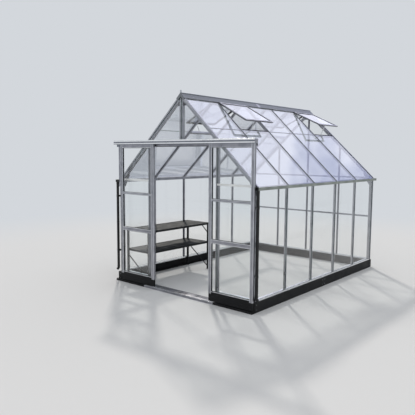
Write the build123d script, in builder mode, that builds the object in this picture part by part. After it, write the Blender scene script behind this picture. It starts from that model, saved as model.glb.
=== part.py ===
from build123d import *
import os
from math import cos, radians, sin

os.makedirs("parts", exist_ok=True)

# Glass greenhouse, in millimetres. +Z is up, the doors face -Y, and the origin is on
# the ground at the middle of the whole outline.

# Overall sizes
bay_count = 5
bay = 626.0
width = 2300.0
base_height = 120.0
wall_top = 1410.0
roof_pitch = 43.15

# Aluminium sections
bar_width = 32.0
bar_web = 6.0
bar_depth = 26.0
bar_flange = 4.0
rib_width = 8.0
rib_height = 10.0
post_size = 36.0
beam_depth = 40.0
sill_height = 20.0
sill_lip = 4.0
king_post_width = 55.0
cross_bar_height = 24.0
cross_bar_depth = 20.0
mid_bar_level = 807.0
eaves_bar_level = 1410.0

# Glass
glass = 3.0
glass_gap = 2.0
glass_overhang = 18.0
roof_joint = 612.0
joint_gap = 6.0

# Steel base
base_proud = 10.0
base_front_proud = 45.0
base_flange = 60.0
base_wall = 3.0

# Ridge and gutters
ridge_width = 44.0
ridge_depth = 60.0
ridge_cap_reach = 82.0
ridge_cap_thickness = 4.0
ridge_crest_radius = 7.0
ridge_lug_width = 22.0
ridge_lug_height = 25.0
ridge_lug_thickness = 8.0
ridge_overhang = 18.0
gutter_width = 56.0
gutter_depth = 32.0
gutter_wall = 3.0
gutter_front_reach = 50.0
pipe_diameter = 36.0
pipe_offset = 32.0
pipe_foot = 170.0
pipe_shoe_length = 34.0
pipe_shoe_angle = 40.0
pipe_clip_height = 24.0
pipe_clip_levels = (420.0, 1180.0)

# Sliding doors
leaf_width = 640.0
leaf_thickness = 28.0
leaf_clearance = 15.0
leaf_bottom_gap = 8.0
leaf_stile = 42.0
leaf_top_rail = 44.0
leaf_bar_height = 26.0
leaf_mid_rail = 45.0
leaf_bottom_rail = 30.0
leaf_bar_level = 1235.0
leaf_mid_level = 752.0
leaf_open_edge = 525.0
left_leaf_edge = 403.0
kick_panel_height = 92.0
kick_panel_thickness = 20.0
track_bottom = 1880.0
track_height = 50.0
track_wall = 3.0
track_rib = 3.0
track_lower_rib_height = 24.0
track_upper_rib_height = 10.0
track_front_gap = 7.0
track_end_gap = 5.0
track_lip = 10.0
track_fascia = 30.0
roller_radius = 14.0
roller_width = 8.0
roller_inset = 110.0
roller_gap = 0.3
hanger_thickness = 6.0
hanger_width = 36.0
hanger_clearance = 5.0
axle_radius = 4.0
threshold_height = 28.0
head_lap = 10.0
bracket_width = 30.0
strut_width = 30.0
strut_thickness = 6.0
strut_inset = 2.0
strut_foot = 1310.0
strut_bracket_height = 42.0

# Roof vents: how far those of each bay stand open, from the doors back. None has no vent.
vent_angles = (None, 14.8, None, None, 18.9)
vent_length = 500.0
vent_rail = 26.0
vent_thickness = 14.0
vent_side_gap = 4.0
hinge_radius = 6.0
hinge_gap = 0.3
vent_sill_width = 30.0
vent_sill_lap = 3.0
opener_radius = 5.0
opener_eye = 16.0
opener_eye_height = 8.0
opener_offset = 100.0

# Staging
staging_bays = 2
staging_start = 60.0
staging_top = 715.0
staging_shelf = 430.0
staging_depth = 455.0
tray_rim = 24.0
tray_wall = 2.0
leg_size = 25.0
brace_width = 20.0
brace_thickness = 4.0
brace_reach = 130.0
end_brace_top = 360.0
end_brace_foot = 40.0

# Lines worked out from the sizes
half_width = width / 2
face_x = half_width - rib_height
length = bay_count * bay
slope_sin = sin(radians(roof_pitch))
slope_cos = cos(radians(roof_pitch))
slope_length = face_x / slope_cos
apex = wall_top + face_x * slope_sin / slope_cos
joint_up = slope_length - roof_joint
beam_bottom = wall_top - beam_depth
sill_top = base_height + sill_height
post_inner = face_x - post_size
jamb_x = width / 4
jamb_outer = jamb_x + post_size / 2
jamb_inner = jamb_x - post_size / 2

track_reach = base_front_proud + leaf_clearance + leaf_thickness + track_front_gap + track_wall + track_rib
front_y = (track_reach - ridge_overhang - length) / 2
back_y = front_y + length
middle_y = (front_y + back_y) / 2
bar_lines = [front_y + i * bay for i in range(1, bay_count)]

base_outer = half_width + base_proud
base_inner = base_outer - base_flange
base_front = front_y - base_front_proud
base_rear = back_y + base_proud

leaf_back = base_front - leaf_clearance
leaf_front = leaf_back - leaf_thickness
leaf_middle = (leaf_back + leaf_front) / 2
leaf_bottom = threshold_height + leaf_bottom_gap
kick_top = leaf_bottom + kick_panel_height
leaf_top = track_bottom
track_front = leaf_front - track_front_gap - track_wall
lip_front = leaf_back + hanger_clearance
track_back = lip_front + track_lip + track_wall
track_top = track_bottom + track_height
track_end = leaf_open_edge + leaf_width + track_end_gap

# Clear span of each bay between the flanges of its bars
half_bar = bar_width / 2
bay_starts = [front_y + post_size] + [y + half_bar for y in bar_lines]
bay_ends = [y - half_bar for y in bar_lines] + [back_y - post_size]
bay_spans = list(zip(bay_starts, bay_ends))
vented = [i for i, angle in enumerate(vent_angles[:bay_count]) if angle is not None]

# Section of a glazing bar: a web inside, a flange under the glass, a rib between panes
bar_outline = [
    (-bar_web / 2, -bar_flange - bar_depth),
    (bar_web / 2, -bar_flange - bar_depth),
    (bar_web / 2, -bar_flange),
    (bar_width / 2, -bar_flange),
    (bar_width / 2, 0),
    (rib_width / 2, 0),
    (rib_width / 2, rib_height),
    (-rib_width / 2, rib_height),
    (-rib_width / 2, 0),
    (-bar_width / 2, 0),
    (-bar_width / 2, -bar_flange),
    (-bar_web / 2, -bar_flange),
]

# Section of a post or rafter where two glass faces meet
corner_outline = [
    (-post_size, -post_size),
    (0, -post_size),
    (0, -rib_width),
    (rib_height, -rib_width),
    (rib_height, rib_height),
    (-rib_width, rib_height),
    (-rib_width, 0),
    (-post_size, 0),
]


def block(x, y, z, mode=Mode.ADD):
    """Add or cut a plain block that fills three (from, to) spans."""
    sizes = [abs(span[1] - span[0]) for span in (x, y, z)]
    with Locations(tuple((span[0] + span[1]) / 2 for span in (x, y, z))):
        Box(*sizes, mode=mode)


def around(middle, size):
    """Span of a size about its middle."""
    return (middle - size / 2, middle + size / 2)


def roof_plane(side, lift=0.0):
    """Plane on the outer face of the roof bars: x runs up the slope, z points outwards."""
    plane = Plane(
        origin=(side * face_x, 0, wall_top),
        x_dir=(-side * slope_cos, 0, slope_sin),
        z_dir=(side * slope_sin, 0, slope_cos),
    )
    return plane.offset(lift)


def bar_plane(y):
    """Plane across a right-hand roof bar: y points out of the roof and z up the slope."""
    return Plane(origin=(face_x, y, wall_top), x_dir=(0, -1, 0), z_dir=(-slope_cos, 0, slope_sin))


def down_slope(distance, lift):
    """X and Z of a point on the right slope, a distance down from the ridge line."""
    x = distance * slope_cos + lift * slope_sin
    return (x, apex - distance * slope_sin + lift * slope_cos)


def trim_to_roof(depth):
    """Cut the piece off below both slopes, a depth under the face of the bars."""
    for side in (1, -1):
        split(bisect_by=roof_plane(side, -depth), keep=Keep.BOTTOM)


def save(builder, name):
    """Label a finished piece and write it to its own file."""
    builder.part.label = name
    export_step(builder.part, f"parts/{name}.step")


def save_pair(builder, name):
    """Write a right-hand piece, and its mirror image as the left-hand one."""
    save(builder, f"{name}_right")
    with BuildPart() as twin:
        mirror(builder.part, about=Plane.YZ)
    save(twin, f"{name}_left")


# Steel base: folded channels that are open inwards
base_hollow = (base_wall, base_height - base_wall)
with BuildPart() as base_side:
    block((base_inner, base_outer), (base_front, base_rear), (0, base_height))
    hollow_y = (base_front + base_wall, base_rear - base_wall)
    block((base_inner, base_outer - base_wall), hollow_y, base_hollow, Mode.SUBTRACT)
save_pair(base_side, "base_side")

with BuildPart() as base_back:
    block((-base_inner, base_inner), (base_rear - base_flange, base_rear), (0, base_height))
    hollow_y = (base_rear - base_flange, base_rear - base_wall)
    block((-base_inner, base_inner), hollow_y, base_hollow, Mode.SUBTRACT)
save(base_back, "base_back")

with BuildPart() as base_front_piece:
    block((jamb_outer, base_inner), (base_front, front_y + post_size), (0, base_height))
    hollow_y = (base_front + base_wall, front_y + post_size)
    block((jamb_outer, base_inner), hollow_y, base_hollow, Mode.SUBTRACT)
    block((jamb_outer, base_outer), (leaf_front, base_front), (0, threshold_height))
save_pair(base_front_piece, "base_front")

with BuildPart() as threshold:
    block((-jamb_outer, jamb_outer), (leaf_front, front_y), (0, threshold_height))
    block((-jamb_inner, jamb_inner), (front_y, front_y + post_size), (0, threshold_height))
save(threshold, "door_threshold")

# Sills on the base
with BuildPart() as sills:
    sill_z = (base_height, sill_top)
    for side in (1, -1):
        side_y = (front_y + post_size, back_y - post_size)
        block((side * post_inner, side * (half_width + sill_lip)), side_y, sill_z)
        front_x = (side * jamb_outer, side * post_inner)
        block(front_x, (front_y - rib_height, front_y + post_size), sill_z)
    block((-post_inner, post_inner), (back_y - post_size, back_y + rib_height), sill_z)
save(sills, "sills")

# Corner posts, wall bars and eaves beams
corners = (
    (face_x, back_y, 0),
    (-face_x, back_y, 90),
    (-face_x, front_y, 180),
    (face_x, front_y, 270),
)
with BuildPart() as corner_posts:
    with BuildSketch(Plane.XY.offset(base_height)):
        for x, y, turn in corners:
            with Locations((x, y)):
                Polygon(*corner_outline, rotation=turn, align=None)
    extrude(amount=beam_bottom - base_height)
save(corner_posts, "corner_posts")

with BuildPart() as side_bars:
    with BuildSketch(Plane.XY.offset(sill_top)):
        with Locations(*[(face_x, y) for y in bar_lines]):
            Polygon(*bar_outline, rotation=-90, align=None)
    extrude(amount=beam_bottom - sill_top)
save_pair(side_bars, "side_bars")

with BuildPart() as eaves_beams:
    for side in (1, -1):
        block((side * post_inner, side * face_x), (front_y, back_y), (beam_bottom, wall_top))
save(eaves_beams, "eaves_beams")

# Rafters at both gables, roof bars between them and the ridge
with BuildPart() as rafters:
    with BuildSketch(bar_plane(front_y)):
        Polygon(*corner_outline, align=None)
    extrude(amount=slope_length + post_size, both=True)
    split(bisect_by=Plane.YZ, keep=Keep.TOP)
    split(bisect_by=Plane.XY.offset(wall_top), keep=Keep.TOP)
    mirror(about=Plane.XZ.offset(-middle_y))
save_pair(rafters, "rafters")

with BuildPart() as roof_bars:
    for y in bar_lines:
        with BuildSketch(bar_plane(y)):
            Polygon(*bar_outline, align=None)
        extrude(amount=slope_length + post_size, both=True)
    split(bisect_by=Plane.YZ.offset(ridge_width / 2), keep=Keep.TOP)
    split(bisect_by=Plane.XY.offset(wall_top), keep=Keep.TOP)
save_pair(roof_bars, "roof_bars")

ridge_edge = ridge_width / 2
ridge_shoulder = apex - ridge_edge * slope_sin / slope_cos
with BuildPart() as ridge_beam:
    with BuildSketch(Plane.XZ.offset(post_size - back_y)):
        Polygon(
            (-ridge_edge, apex - ridge_depth),
            (ridge_edge, apex - ridge_depth),
            (ridge_edge, ridge_shoulder),
            (0, apex),
            (-ridge_edge, ridge_shoulder),
            align=None,
        )
    extrude(amount=length - 2 * post_size)
save(ridge_beam, "ridge_beam")

cap_top = rib_height + ridge_cap_thickness
crest_level = apex + rib_height / slope_cos + ridge_crest_radius
cap_edge = [down_slope(ridge_cap_reach, rib_height), down_slope(ridge_cap_reach, cap_top)]
with BuildPart() as ridge_cap:
    with BuildSketch(Plane.XZ.offset(-back_y - ridge_overhang)):
        Polygon(
            (0, apex + rib_height / slope_cos),
            *cap_edge,
            (0, apex + cap_top / slope_cos),
            *[(-x, z) for x, z in reversed(cap_edge)],
            align=None,
        )
        with Locations((0, crest_level)):
            Circle(ridge_crest_radius)
    extrude(amount=length + 2 * ridge_overhang)
    lug_y = (front_y - ridge_overhang, front_y - ridge_overhang + ridge_lug_width)
    lug_z = (crest_level, crest_level + ridge_crest_radius + ridge_lug_height)
    block(around(0, ridge_lug_thickness), lug_y, lug_z)
save(ridge_cap, "ridge_cap")

# Gutters and downpipes
gutter_outer = face_x + gutter_width
gutter_top = beam_bottom + gutter_depth
gutter_y = (front_y - gutter_front_reach, base_rear)
with BuildPart() as gutter:
    block((face_x, gutter_outer), gutter_y, (beam_bottom, gutter_top))
    trough_x = (face_x + gutter_wall, gutter_outer - gutter_wall)
    trough_y = (gutter_y[0] + gutter_wall, gutter_y[1] - gutter_wall)
    block(trough_x, trough_y, (beam_bottom + gutter_wall, gutter_top), Mode.SUBTRACT)
save_pair(gutter, "gutter")

pipe_radius = pipe_diameter / 2
pipe_x = gutter_outer - pipe_radius
pipe_y = front_y - pipe_offset
shoe_angle = radians(pipe_shoe_angle)
shoe_down = (sin(shoe_angle), 0, -cos(shoe_angle))
with BuildPart() as downpipe:
    with BuildSketch(Plane.XY.offset(pipe_foot)):
        with Locations((pipe_x, pipe_y)):
            Circle(pipe_radius)
    extrude(amount=beam_bottom - pipe_foot)
    with Locations((pipe_x, pipe_y, pipe_foot)):
        Sphere(pipe_radius)
    with BuildSketch(Plane(origin=(pipe_x, pipe_y, pipe_foot), z_dir=shoe_down)):
        Circle(pipe_radius)
    extrude(amount=pipe_shoe_length)
    for level in pipe_clip_levels:
        clip_x = (face_x + rib_height / 2, pipe_x)
        block(clip_x, (pipe_y, front_y - rib_height), around(level, pipe_clip_height))
save_pair(downpipe, "downpipe")

# Front gable: jambs down to the ground, head, king post and short bars
front_post_y = (front_y, front_y + post_size)
front_rib_y = (front_y - rib_height, front_y)
with BuildPart() as door_jambs:
    for x in (jamb_x, -jamb_x):
        block(around(x, post_size), front_post_y, (0, apex))
        block(around(x, rib_width), front_rib_y, (sill_top, apex))
    trim_to_roof(post_size)
save(door_jambs, "door_jambs")

head_top = track_bottom + head_lap
with BuildPart() as door_head:
    bracket_z = (track_bottom - track_fascia, track_bottom)
    block((-jamb_inner, jamb_inner), front_post_y, (bracket_z[0], head_top))
    for x in (bracket_width - jamb_inner, 0, jamb_inner - bracket_width):
        block(around(x, bracket_width), (track_back, front_y), bracket_z)
    trim_to_roof(post_size)
save(door_head, "door_head")

with BuildPart() as king_post:
    block(around(0, king_post_width), front_post_y, (head_top, apex))
    block(around(0, rib_width), front_rib_y, (head_top, apex))
    trim_to_roof(post_size)
save(king_post, "king_post")

eaves_bar_z = around(eaves_bar_level, cross_bar_height)
with BuildPart() as front_cross_bars:
    for side in (1, -1):
        bar_x = (side * jamb_outer, side * post_inner)
        block(bar_x, (front_y, front_y + cross_bar_depth), eaves_bar_z)
    trim_to_roof(post_size)
save(front_cross_bars, "front_cross_bars")

# Back gable: three upright bars and two rows of cross bars
with BuildPart() as back_bars:
    with BuildSketch(Plane.XY.offset(sill_top)):
        with Locations((-jamb_x, back_y), (0, back_y), (jamb_x, back_y)):
            Polygon(*bar_outline, align=None)
    extrude(amount=apex - sill_top)
    trim_to_roof(post_size)
save(back_bars, "back_bars")

with BuildPart() as back_cross_bars:
    for side in (1, -1):
        for near, far in ((half_bar, jamb_x - half_bar), (jamb_x + half_bar, post_inner)):
            for z in (around(mid_bar_level, cross_bar_height), eaves_bar_z):
                block((side * near, side * far), (back_y - cross_bar_depth, back_y), z)
    trim_to_roof(post_size)
save(back_cross_bars, "back_cross_bars")

# Glass of the side walls, one pane a bay
edge_gap = rib_width / 2 + glass_gap
corner_gap = rib_width + glass_gap
pane_starts = [front_y + corner_gap] + [y + edge_gap for y in bar_lines]
pane_ends = [y - edge_gap for y in bar_lines] + [back_y - corner_gap]
pane_spans = list(zip(pane_starts, pane_ends))
with BuildPart() as wall_glass:
    for span in pane_spans:
        block((face_x, face_x + glass), span, (sill_top, beam_bottom))
save_pair(wall_glass, "wall_glass")

# Glass of the roof: two rows of panes, and no upper pane where a vent is
half_joint = joint_gap / 2
with BuildPart() as roof_glass:
    with BuildSketch(roof_plane(1)):
        for i, (low, high) in enumerate(pane_spans):
            rows = [(-glass_overhang, joint_up - half_joint)]
            if i not in vented:
                rows.append((joint_up + half_joint, slope_length - ridge_width))
            for start, end in rows:
                with Locations(((start + end) / 2, -(low + high) / 2)):
                    Rectangle(end - start, high - low)
    extrude(amount=glass)
save_pair(roof_glass, "roof_glass")

# Glass of the gables
side_columns = ((jamb_x + edge_gap, face_x - corner_gap), (corner_gap - face_x, -jamb_x - edge_gap))
centre_columns = ((edge_gap, jamb_x - edge_gap), (edge_gap - jamb_x, -edge_gap))
with BuildPart() as front_glass:
    front_pane_y = (front_y - glass, front_y)
    for x in side_columns:
        block(x, front_pane_y, (sill_top, eaves_bar_level - half_joint))
        block(x, front_pane_y, (eaves_bar_level + half_joint, apex))
    for x in centre_columns:
        block(x, front_pane_y, (track_bottom, apex))
    trim_to_roof(corner_gap)
save(front_glass, "front_glass")

with BuildPart() as back_glass:
    for x in side_columns + centre_columns:
        block(x, (back_y, back_y + glass), (sill_top, mid_bar_level - half_joint))
        block(x, (back_y, back_y + glass), (mid_bar_level + half_joint, eaves_bar_level - half_joint))
        block(x, (back_y, back_y + glass), (eaves_bar_level + half_joint, apex))
    trim_to_roof(corner_gap)
save(back_glass, "back_glass")

# Overhead track of the doors, open below, with a lip that the rollers run on
with BuildPart() as door_track:
    track_x = (-track_end, track_end)
    back_wall_y = (track_back - track_wall, track_back)
    block(track_x, (track_front, track_front + track_wall), (track_bottom, track_top))
    rib_y = (track_front - track_rib, track_front)
    block(track_x, rib_y, (track_bottom, track_bottom + track_lower_rib_height))
    block(track_x, rib_y, (track_top - track_upper_rib_height, track_top))
    block(track_x, (track_front, track_back), (track_top - track_wall, track_top))
    block(track_x, back_wall_y, (track_bottom - track_fascia, track_top))
    block(track_x, (lip_front, track_back), (track_bottom, track_bottom + track_wall))
save(door_track, "door_track")

strut_outer = face_x - strut_inset
with BuildPart() as track_struts:
    for side in (1, -1):
        strut_x = (side * (strut_outer - strut_width), side * strut_outer)
        block(strut_x, (track_back, track_back + strut_thickness), (strut_foot, track_top))
        bracket_x = (side * (strut_outer - strut_thickness), side * strut_outer)
        foot_z = (strut_foot, strut_foot + strut_bracket_height)
        block(bracket_x, (track_back, front_y - rib_height), foot_z)
save(track_struts, "track_struts")

# Sliding leaves
wheel_z = track_bottom + track_wall + roller_gap + roller_radius
leaf_rails = (
    (kick_top, kick_top + leaf_bottom_rail),
    around(leaf_mid_level, leaf_mid_rail),
    around(leaf_bar_level, leaf_bar_height),
    (leaf_top - leaf_top_rail, leaf_top),
)


def write_leaf(name, left_edge):
    """Write the frame, glass, kick panel and hangers of the leaf that starts at an edge."""
    across = (left_edge, left_edge + leaf_width)
    clear = (across[0] + leaf_stile, across[1] - leaf_stile)
    with BuildPart() as frame:
        block(across, (leaf_front, leaf_back), (kick_top, leaf_top))
        for below, above in zip(leaf_rails, leaf_rails[1:]):
            block(clear, (leaf_front, leaf_back), (below[1], above[0]), Mode.SUBTRACT)
    save(frame, f"{name}_frame")

    with BuildPart() as panes:
        for below, above in zip(leaf_rails, leaf_rails[1:]):
            block(clear, around(leaf_middle, glass), (below[1], above[0]))
    save(panes, f"{name}_glass")

    with BuildPart() as kick_panel:
        block(across, around(leaf_middle, kick_panel_thickness), (leaf_bottom, kick_top))
    save(kick_panel, f"{name}_kick_panel")

    with BuildPart() as hangers:
        for x in (across[0] + roller_inset, across[1] - roller_inset):
            plate_y = (leaf_back - hanger_thickness, leaf_back)
            block(around(x, hanger_width), plate_y, (leaf_top, wheel_z + 2 * axle_radius))
            with BuildSketch(Plane.XZ.offset(-lip_front - roller_width)):
                with Locations((x, wheel_z)):
                    Circle(roller_radius)
            extrude(amount=roller_width)
            with BuildSketch(Plane.XZ.offset(-lip_front)):
                with Locations((x, wheel_z)):
                    Circle(axle_radius)
            extrude(amount=hanger_clearance)
    save(hangers, f"{name}_hangers")


write_leaf("door_right", leaf_open_edge)
write_leaf("door_left", -left_leaf_edge - leaf_width)

# Roof vents, propped open from hinges at the ridge cap
hinge_x, hinge_z = down_slope(
    ridge_cap_reach + hinge_radius + hinge_gap, rib_height + ridge_cap_thickness / 2
)
vent_pitches = [radians(roof_pitch - vent_angles[i]) for i in vented]
vent_margin = vent_side_gap - glass_gap
vent_spans = [(pane_spans[i][0] + vent_margin, pane_spans[i][1] - vent_margin) for i in vented]
vents = [((low + high) / 2, (high - low) / 2, pitch) for (low, high), pitch in zip(vent_spans, vent_pitches)]


def vent_plane(pitch, lift):
    """Plane through the right-hand hinge: x runs down the open vent, z points out of it."""
    down = (cos(pitch), 0, -sin(pitch))
    plane = Plane(origin=(hinge_x, 0, hinge_z), x_dir=down, z_dir=(sin(pitch), 0, cos(pitch)))
    return plane.offset(lift)


with BuildPart() as vent_frames:
    for y, vent_half, pitch in vents:
        with BuildSketch(vent_plane(pitch, -vent_thickness / 2)):
            with Locations((vent_length / 2, y)):
                Rectangle(vent_length, 2 * vent_half)
                Rectangle(vent_length - 2 * vent_rail, 2 * (vent_half - vent_rail), mode=Mode.SUBTRACT)
        extrude(amount=vent_thickness)
        with BuildSketch(Plane(origin=(hinge_x, y + vent_half, hinge_z), z_dir=(0, -1, 0))):
            Circle(hinge_radius)
        extrude(amount=2 * vent_half)
    mirror(about=Plane.YZ)
save(vent_frames, "vent_frames")

with BuildPart() as vent_glass:
    for y, vent_half, pitch in vents:
        with BuildSketch(vent_plane(pitch, -glass / 2)):
            with Locations((vent_length / 2, y)):
                Rectangle(vent_length - 2 * vent_rail, 2 * (vent_half - vent_rail))
        extrude(amount=glass)
    mirror(about=Plane.YZ)
save(vent_glass, "vent_glass")

sill_middle = joint_up - half_joint - vent_sill_lap + vent_sill_width / 2
with BuildPart() as vent_sills:
    with BuildSketch(roof_plane(1, -bar_flange - bar_depth)):
        for i in vented:
            low, high = bay_spans[i]
            with Locations((sill_middle, -(low + high) / 2)):
                Rectangle(vent_sill_width, high - low)
    extrude(amount=bar_flange + bar_depth)
    mirror(about=Plane.YZ)
save(vent_sills, "vent_sills")

# Opener arm of each vent: an eye on the sill, an eye under the vent and a rod between them
with BuildPart() as vent_openers:
    for vent_middle, vent_half, pitch in vents:
        y = vent_middle - opener_offset
        with BuildSketch(roof_plane(1)):
            with Locations((sill_middle, -y)):
                Rectangle(opener_eye, opener_eye)
        extrude(amount=opener_eye_height)
        upper_plane = vent_plane(pitch, -vent_thickness / 2 - opener_eye_height)
        upper_reach = vent_length - vent_rail / 2
        with BuildSketch(upper_plane):
            with Locations((upper_reach, y)):
                Rectangle(opener_eye, opener_eye)
        extrude(amount=opener_eye_height)
        lower = roof_plane(1, opener_eye_height / 2).from_local_coords(Vector(sill_middle, -y, 0))
        upper = upper_plane.from_local_coords(Vector(upper_reach, y, opener_eye_height / 2))
        with BuildSketch(Plane(origin=lower, z_dir=upper - lower)):
            Circle(opener_radius)
        extrude(amount=(upper - lower).length)
    mirror(about=Plane.YZ)
save(vent_openers, "vent_openers")

# Staging along the left wall: two trays on four legs
staging_y = (front_y + staging_start, front_y + staging_start + staging_bays * bay)
staging_back = bar_flange + bar_depth - face_x
staging_x = (staging_back, staging_back + staging_depth)
with BuildPart() as staging_trays:
    shelf_y = (staging_y[0] + leg_size, staging_y[1] - leg_size)
    for top, tray_y in ((staging_top, staging_y), (staging_shelf, shelf_y)):
        block(staging_x, tray_y, (top - tray_rim, top))
        hollow_x = (staging_x[0] + tray_wall, staging_x[1] - tray_wall)
        hollow_y = (tray_y[0] + tray_wall, tray_y[1] - tray_wall)
        block(hollow_x, hollow_y, (top - tray_rim, top - tray_wall), Mode.SUBTRACT)
save(staging_trays, "staging_trays")

leg_top = staging_top - tray_rim
leg_x = (-base_inner, leg_size - base_inner)
with BuildPart() as staging_legs:
    for x in (leg_x, (staging_x[1] - leg_size, staging_x[1])):
        for y in ((staging_y[0], shelf_y[0]), (shelf_y[1], staging_y[1])):
            block(x, y, (0, leg_top))
save(staging_legs, "staging_legs")

# Corner braces under the top tray and a slanted brace across each end
with BuildPart() as staging_braces:
    with BuildSketch(Plane.YZ.offset(staging_x[1] - leg_size / 2 - brace_thickness / 2)):
        for edge, inwards in ((shelf_y[0], 1), (shelf_y[1], -1)):
            Polygon(
                (edge, leg_top - brace_reach),
                (edge + inwards * brace_reach, leg_top),
                (edge + inwards * (brace_reach - brace_width), leg_top),
                (edge, leg_top - brace_reach + brace_width),
                align=None,
            )
    extrude(amount=brace_thickness)
    for y in (staging_y[0] + leg_size / 2, staging_y[1] - leg_size / 2):
        with BuildSketch(Plane.XZ.offset(-y - brace_thickness / 2)):
            Polygon(
                (leg_x[1], end_brace_top),
                (leg_x[1], end_brace_top - brace_width),
                (staging_x[1] - leg_size, end_brace_foot),
                (staging_x[1] - leg_size, end_brace_foot + brace_width),
                align=None,
            )
        extrude(amount=brace_thickness)
save(staging_braces, "staging_braces")
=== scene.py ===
"""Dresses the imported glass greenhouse: finishes, seals, clips, fixings, light and camera.

Everything is in metres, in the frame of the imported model: +Z is up, the doors face -Y and
the origin is on the ground at the middle of the outline.
"""

import logging
import math
from dataclasses import dataclass, field
from enum import Enum
from typing import Iterable, Sequence

import bmesh
import bpy
from mathutils import Matrix, Vector


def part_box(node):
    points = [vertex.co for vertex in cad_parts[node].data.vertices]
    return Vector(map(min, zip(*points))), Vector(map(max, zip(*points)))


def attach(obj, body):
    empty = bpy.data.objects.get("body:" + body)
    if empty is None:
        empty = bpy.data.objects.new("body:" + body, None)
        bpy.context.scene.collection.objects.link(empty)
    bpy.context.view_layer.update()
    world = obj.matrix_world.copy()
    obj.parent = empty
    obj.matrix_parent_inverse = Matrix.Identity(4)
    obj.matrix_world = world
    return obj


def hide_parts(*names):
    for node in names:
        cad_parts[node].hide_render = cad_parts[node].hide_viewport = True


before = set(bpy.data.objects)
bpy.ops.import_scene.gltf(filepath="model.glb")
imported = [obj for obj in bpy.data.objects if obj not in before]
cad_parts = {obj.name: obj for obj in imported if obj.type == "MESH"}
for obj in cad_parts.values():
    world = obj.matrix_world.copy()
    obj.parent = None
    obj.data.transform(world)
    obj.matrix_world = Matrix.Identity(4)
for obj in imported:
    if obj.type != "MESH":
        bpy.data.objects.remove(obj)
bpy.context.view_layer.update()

LOG = logging.getLogger("greenhouse")

Point = Sequence[float]
Span = tuple[float, float]
Tree = bpy.types.NodeTree
Socket = bpy.types.NodeSocket

# Directions in the model
UP, FRONT, BACK, RIGHT = (0, 0, 1), (0, -1, 0), (0, 1, 0), (1, 0, 0)


class Body(Enum):
    """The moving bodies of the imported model."""

    HOUSE = "greenhouse"
    DOOR_LEFT = "door_left"
    DOOR_RIGHT = "door_right"


class Slot(Enum):
    """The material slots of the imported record."""

    ALUMINIUM = "aluminium"
    GLASS = "glass"
    BLACK_STEEL = "black_steel"
    STAGING_STEEL = "staging_steel"
    BLACK_PLASTIC = "black_plastic"
    ROLLER_PLASTIC = "roller_plastic"
    RUBBER = "rubber_seal"
    FIXINGS = "steel_fixings"


class Run(Enum):
    """The way an extruded bar lies, so that its die lines run along it."""

    UPRIGHT = "upright"
    LENGTHWISE = "lengthwise"
    CROSSWISE = "crosswise"
    SLOPE_RIGHT = "slope_right"
    SLOPE_LEFT = "slope_left"


class Way(Enum):
    """A way out from the middle of the house, by its sign along an axis."""

    @property
    def word(self) -> str:
        """Its word in the names of nodes and pieces."""
        return self.name.lower()


class Side(Way):
    """A long side of the house, by its sign along X."""

    RIGHT = 1
    LEFT = -1


class Gable(Way):
    """An end of the house, by its sign along Y."""

    FRONT = -1
    BACK = 1


def hex_colour(code: str) -> tuple[float, float, float, float]:
    """Turn an sRGB hex colour to the linear values that a shader takes.

    Args:
        code: Six hex digits with a leading hash, such as "#8FA0B0".

    Returns:
        Linear red, green and blue, and an alpha of 1.
    """
    channels = [int(code[i : i + 2], 16) / 255 for i in (1, 3, 5)]
    linear = [c / 12.92 if c <= 0.04045 else ((c + 0.055) / 1.055) ** 2.4 for c in channels]
    return (*linear, 1.0)


def add_node(tree: Tree, kind: str, settings: dict | None = None, links: dict | None = None) -> bpy.types.Node:
    """Add a shader node with its settings and its incoming links.

    Args:
        tree: The node tree that gets the node.
        kind: Blender's name of the node type.
        settings: Socket or property values, by socket name, socket number or property name.
        links: Output sockets that feed the node, by socket name or number.

    Returns:
        The new node.
    """
    node = tree.nodes.new(kind)
    for key, value in (settings or {}).items():
        if isinstance(key, int) or key in node.inputs:
            node.inputs[key].default_value = value
        else:
            setattr(node, key, value)
    for key, source in (links or {}).items():
        tree.links.new(source, node.inputs[key])
    return node


def new_material(name: str) -> tuple[bpy.types.Material, Tree]:
    """Start an empty node material.

    Args:
        name: Name of the material.

    Returns:
        The material and its node tree.
    """
    material = bpy.data.materials.new(name)
    material.use_nodes = True
    material.node_tree.nodes.clear()
    return material, material.node_tree


@dataclass(frozen=True)
class Coat:
    """A made finish: its material, and the record's slot that it belongs to."""

    material: bpy.types.Material
    slot: Slot


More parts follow.
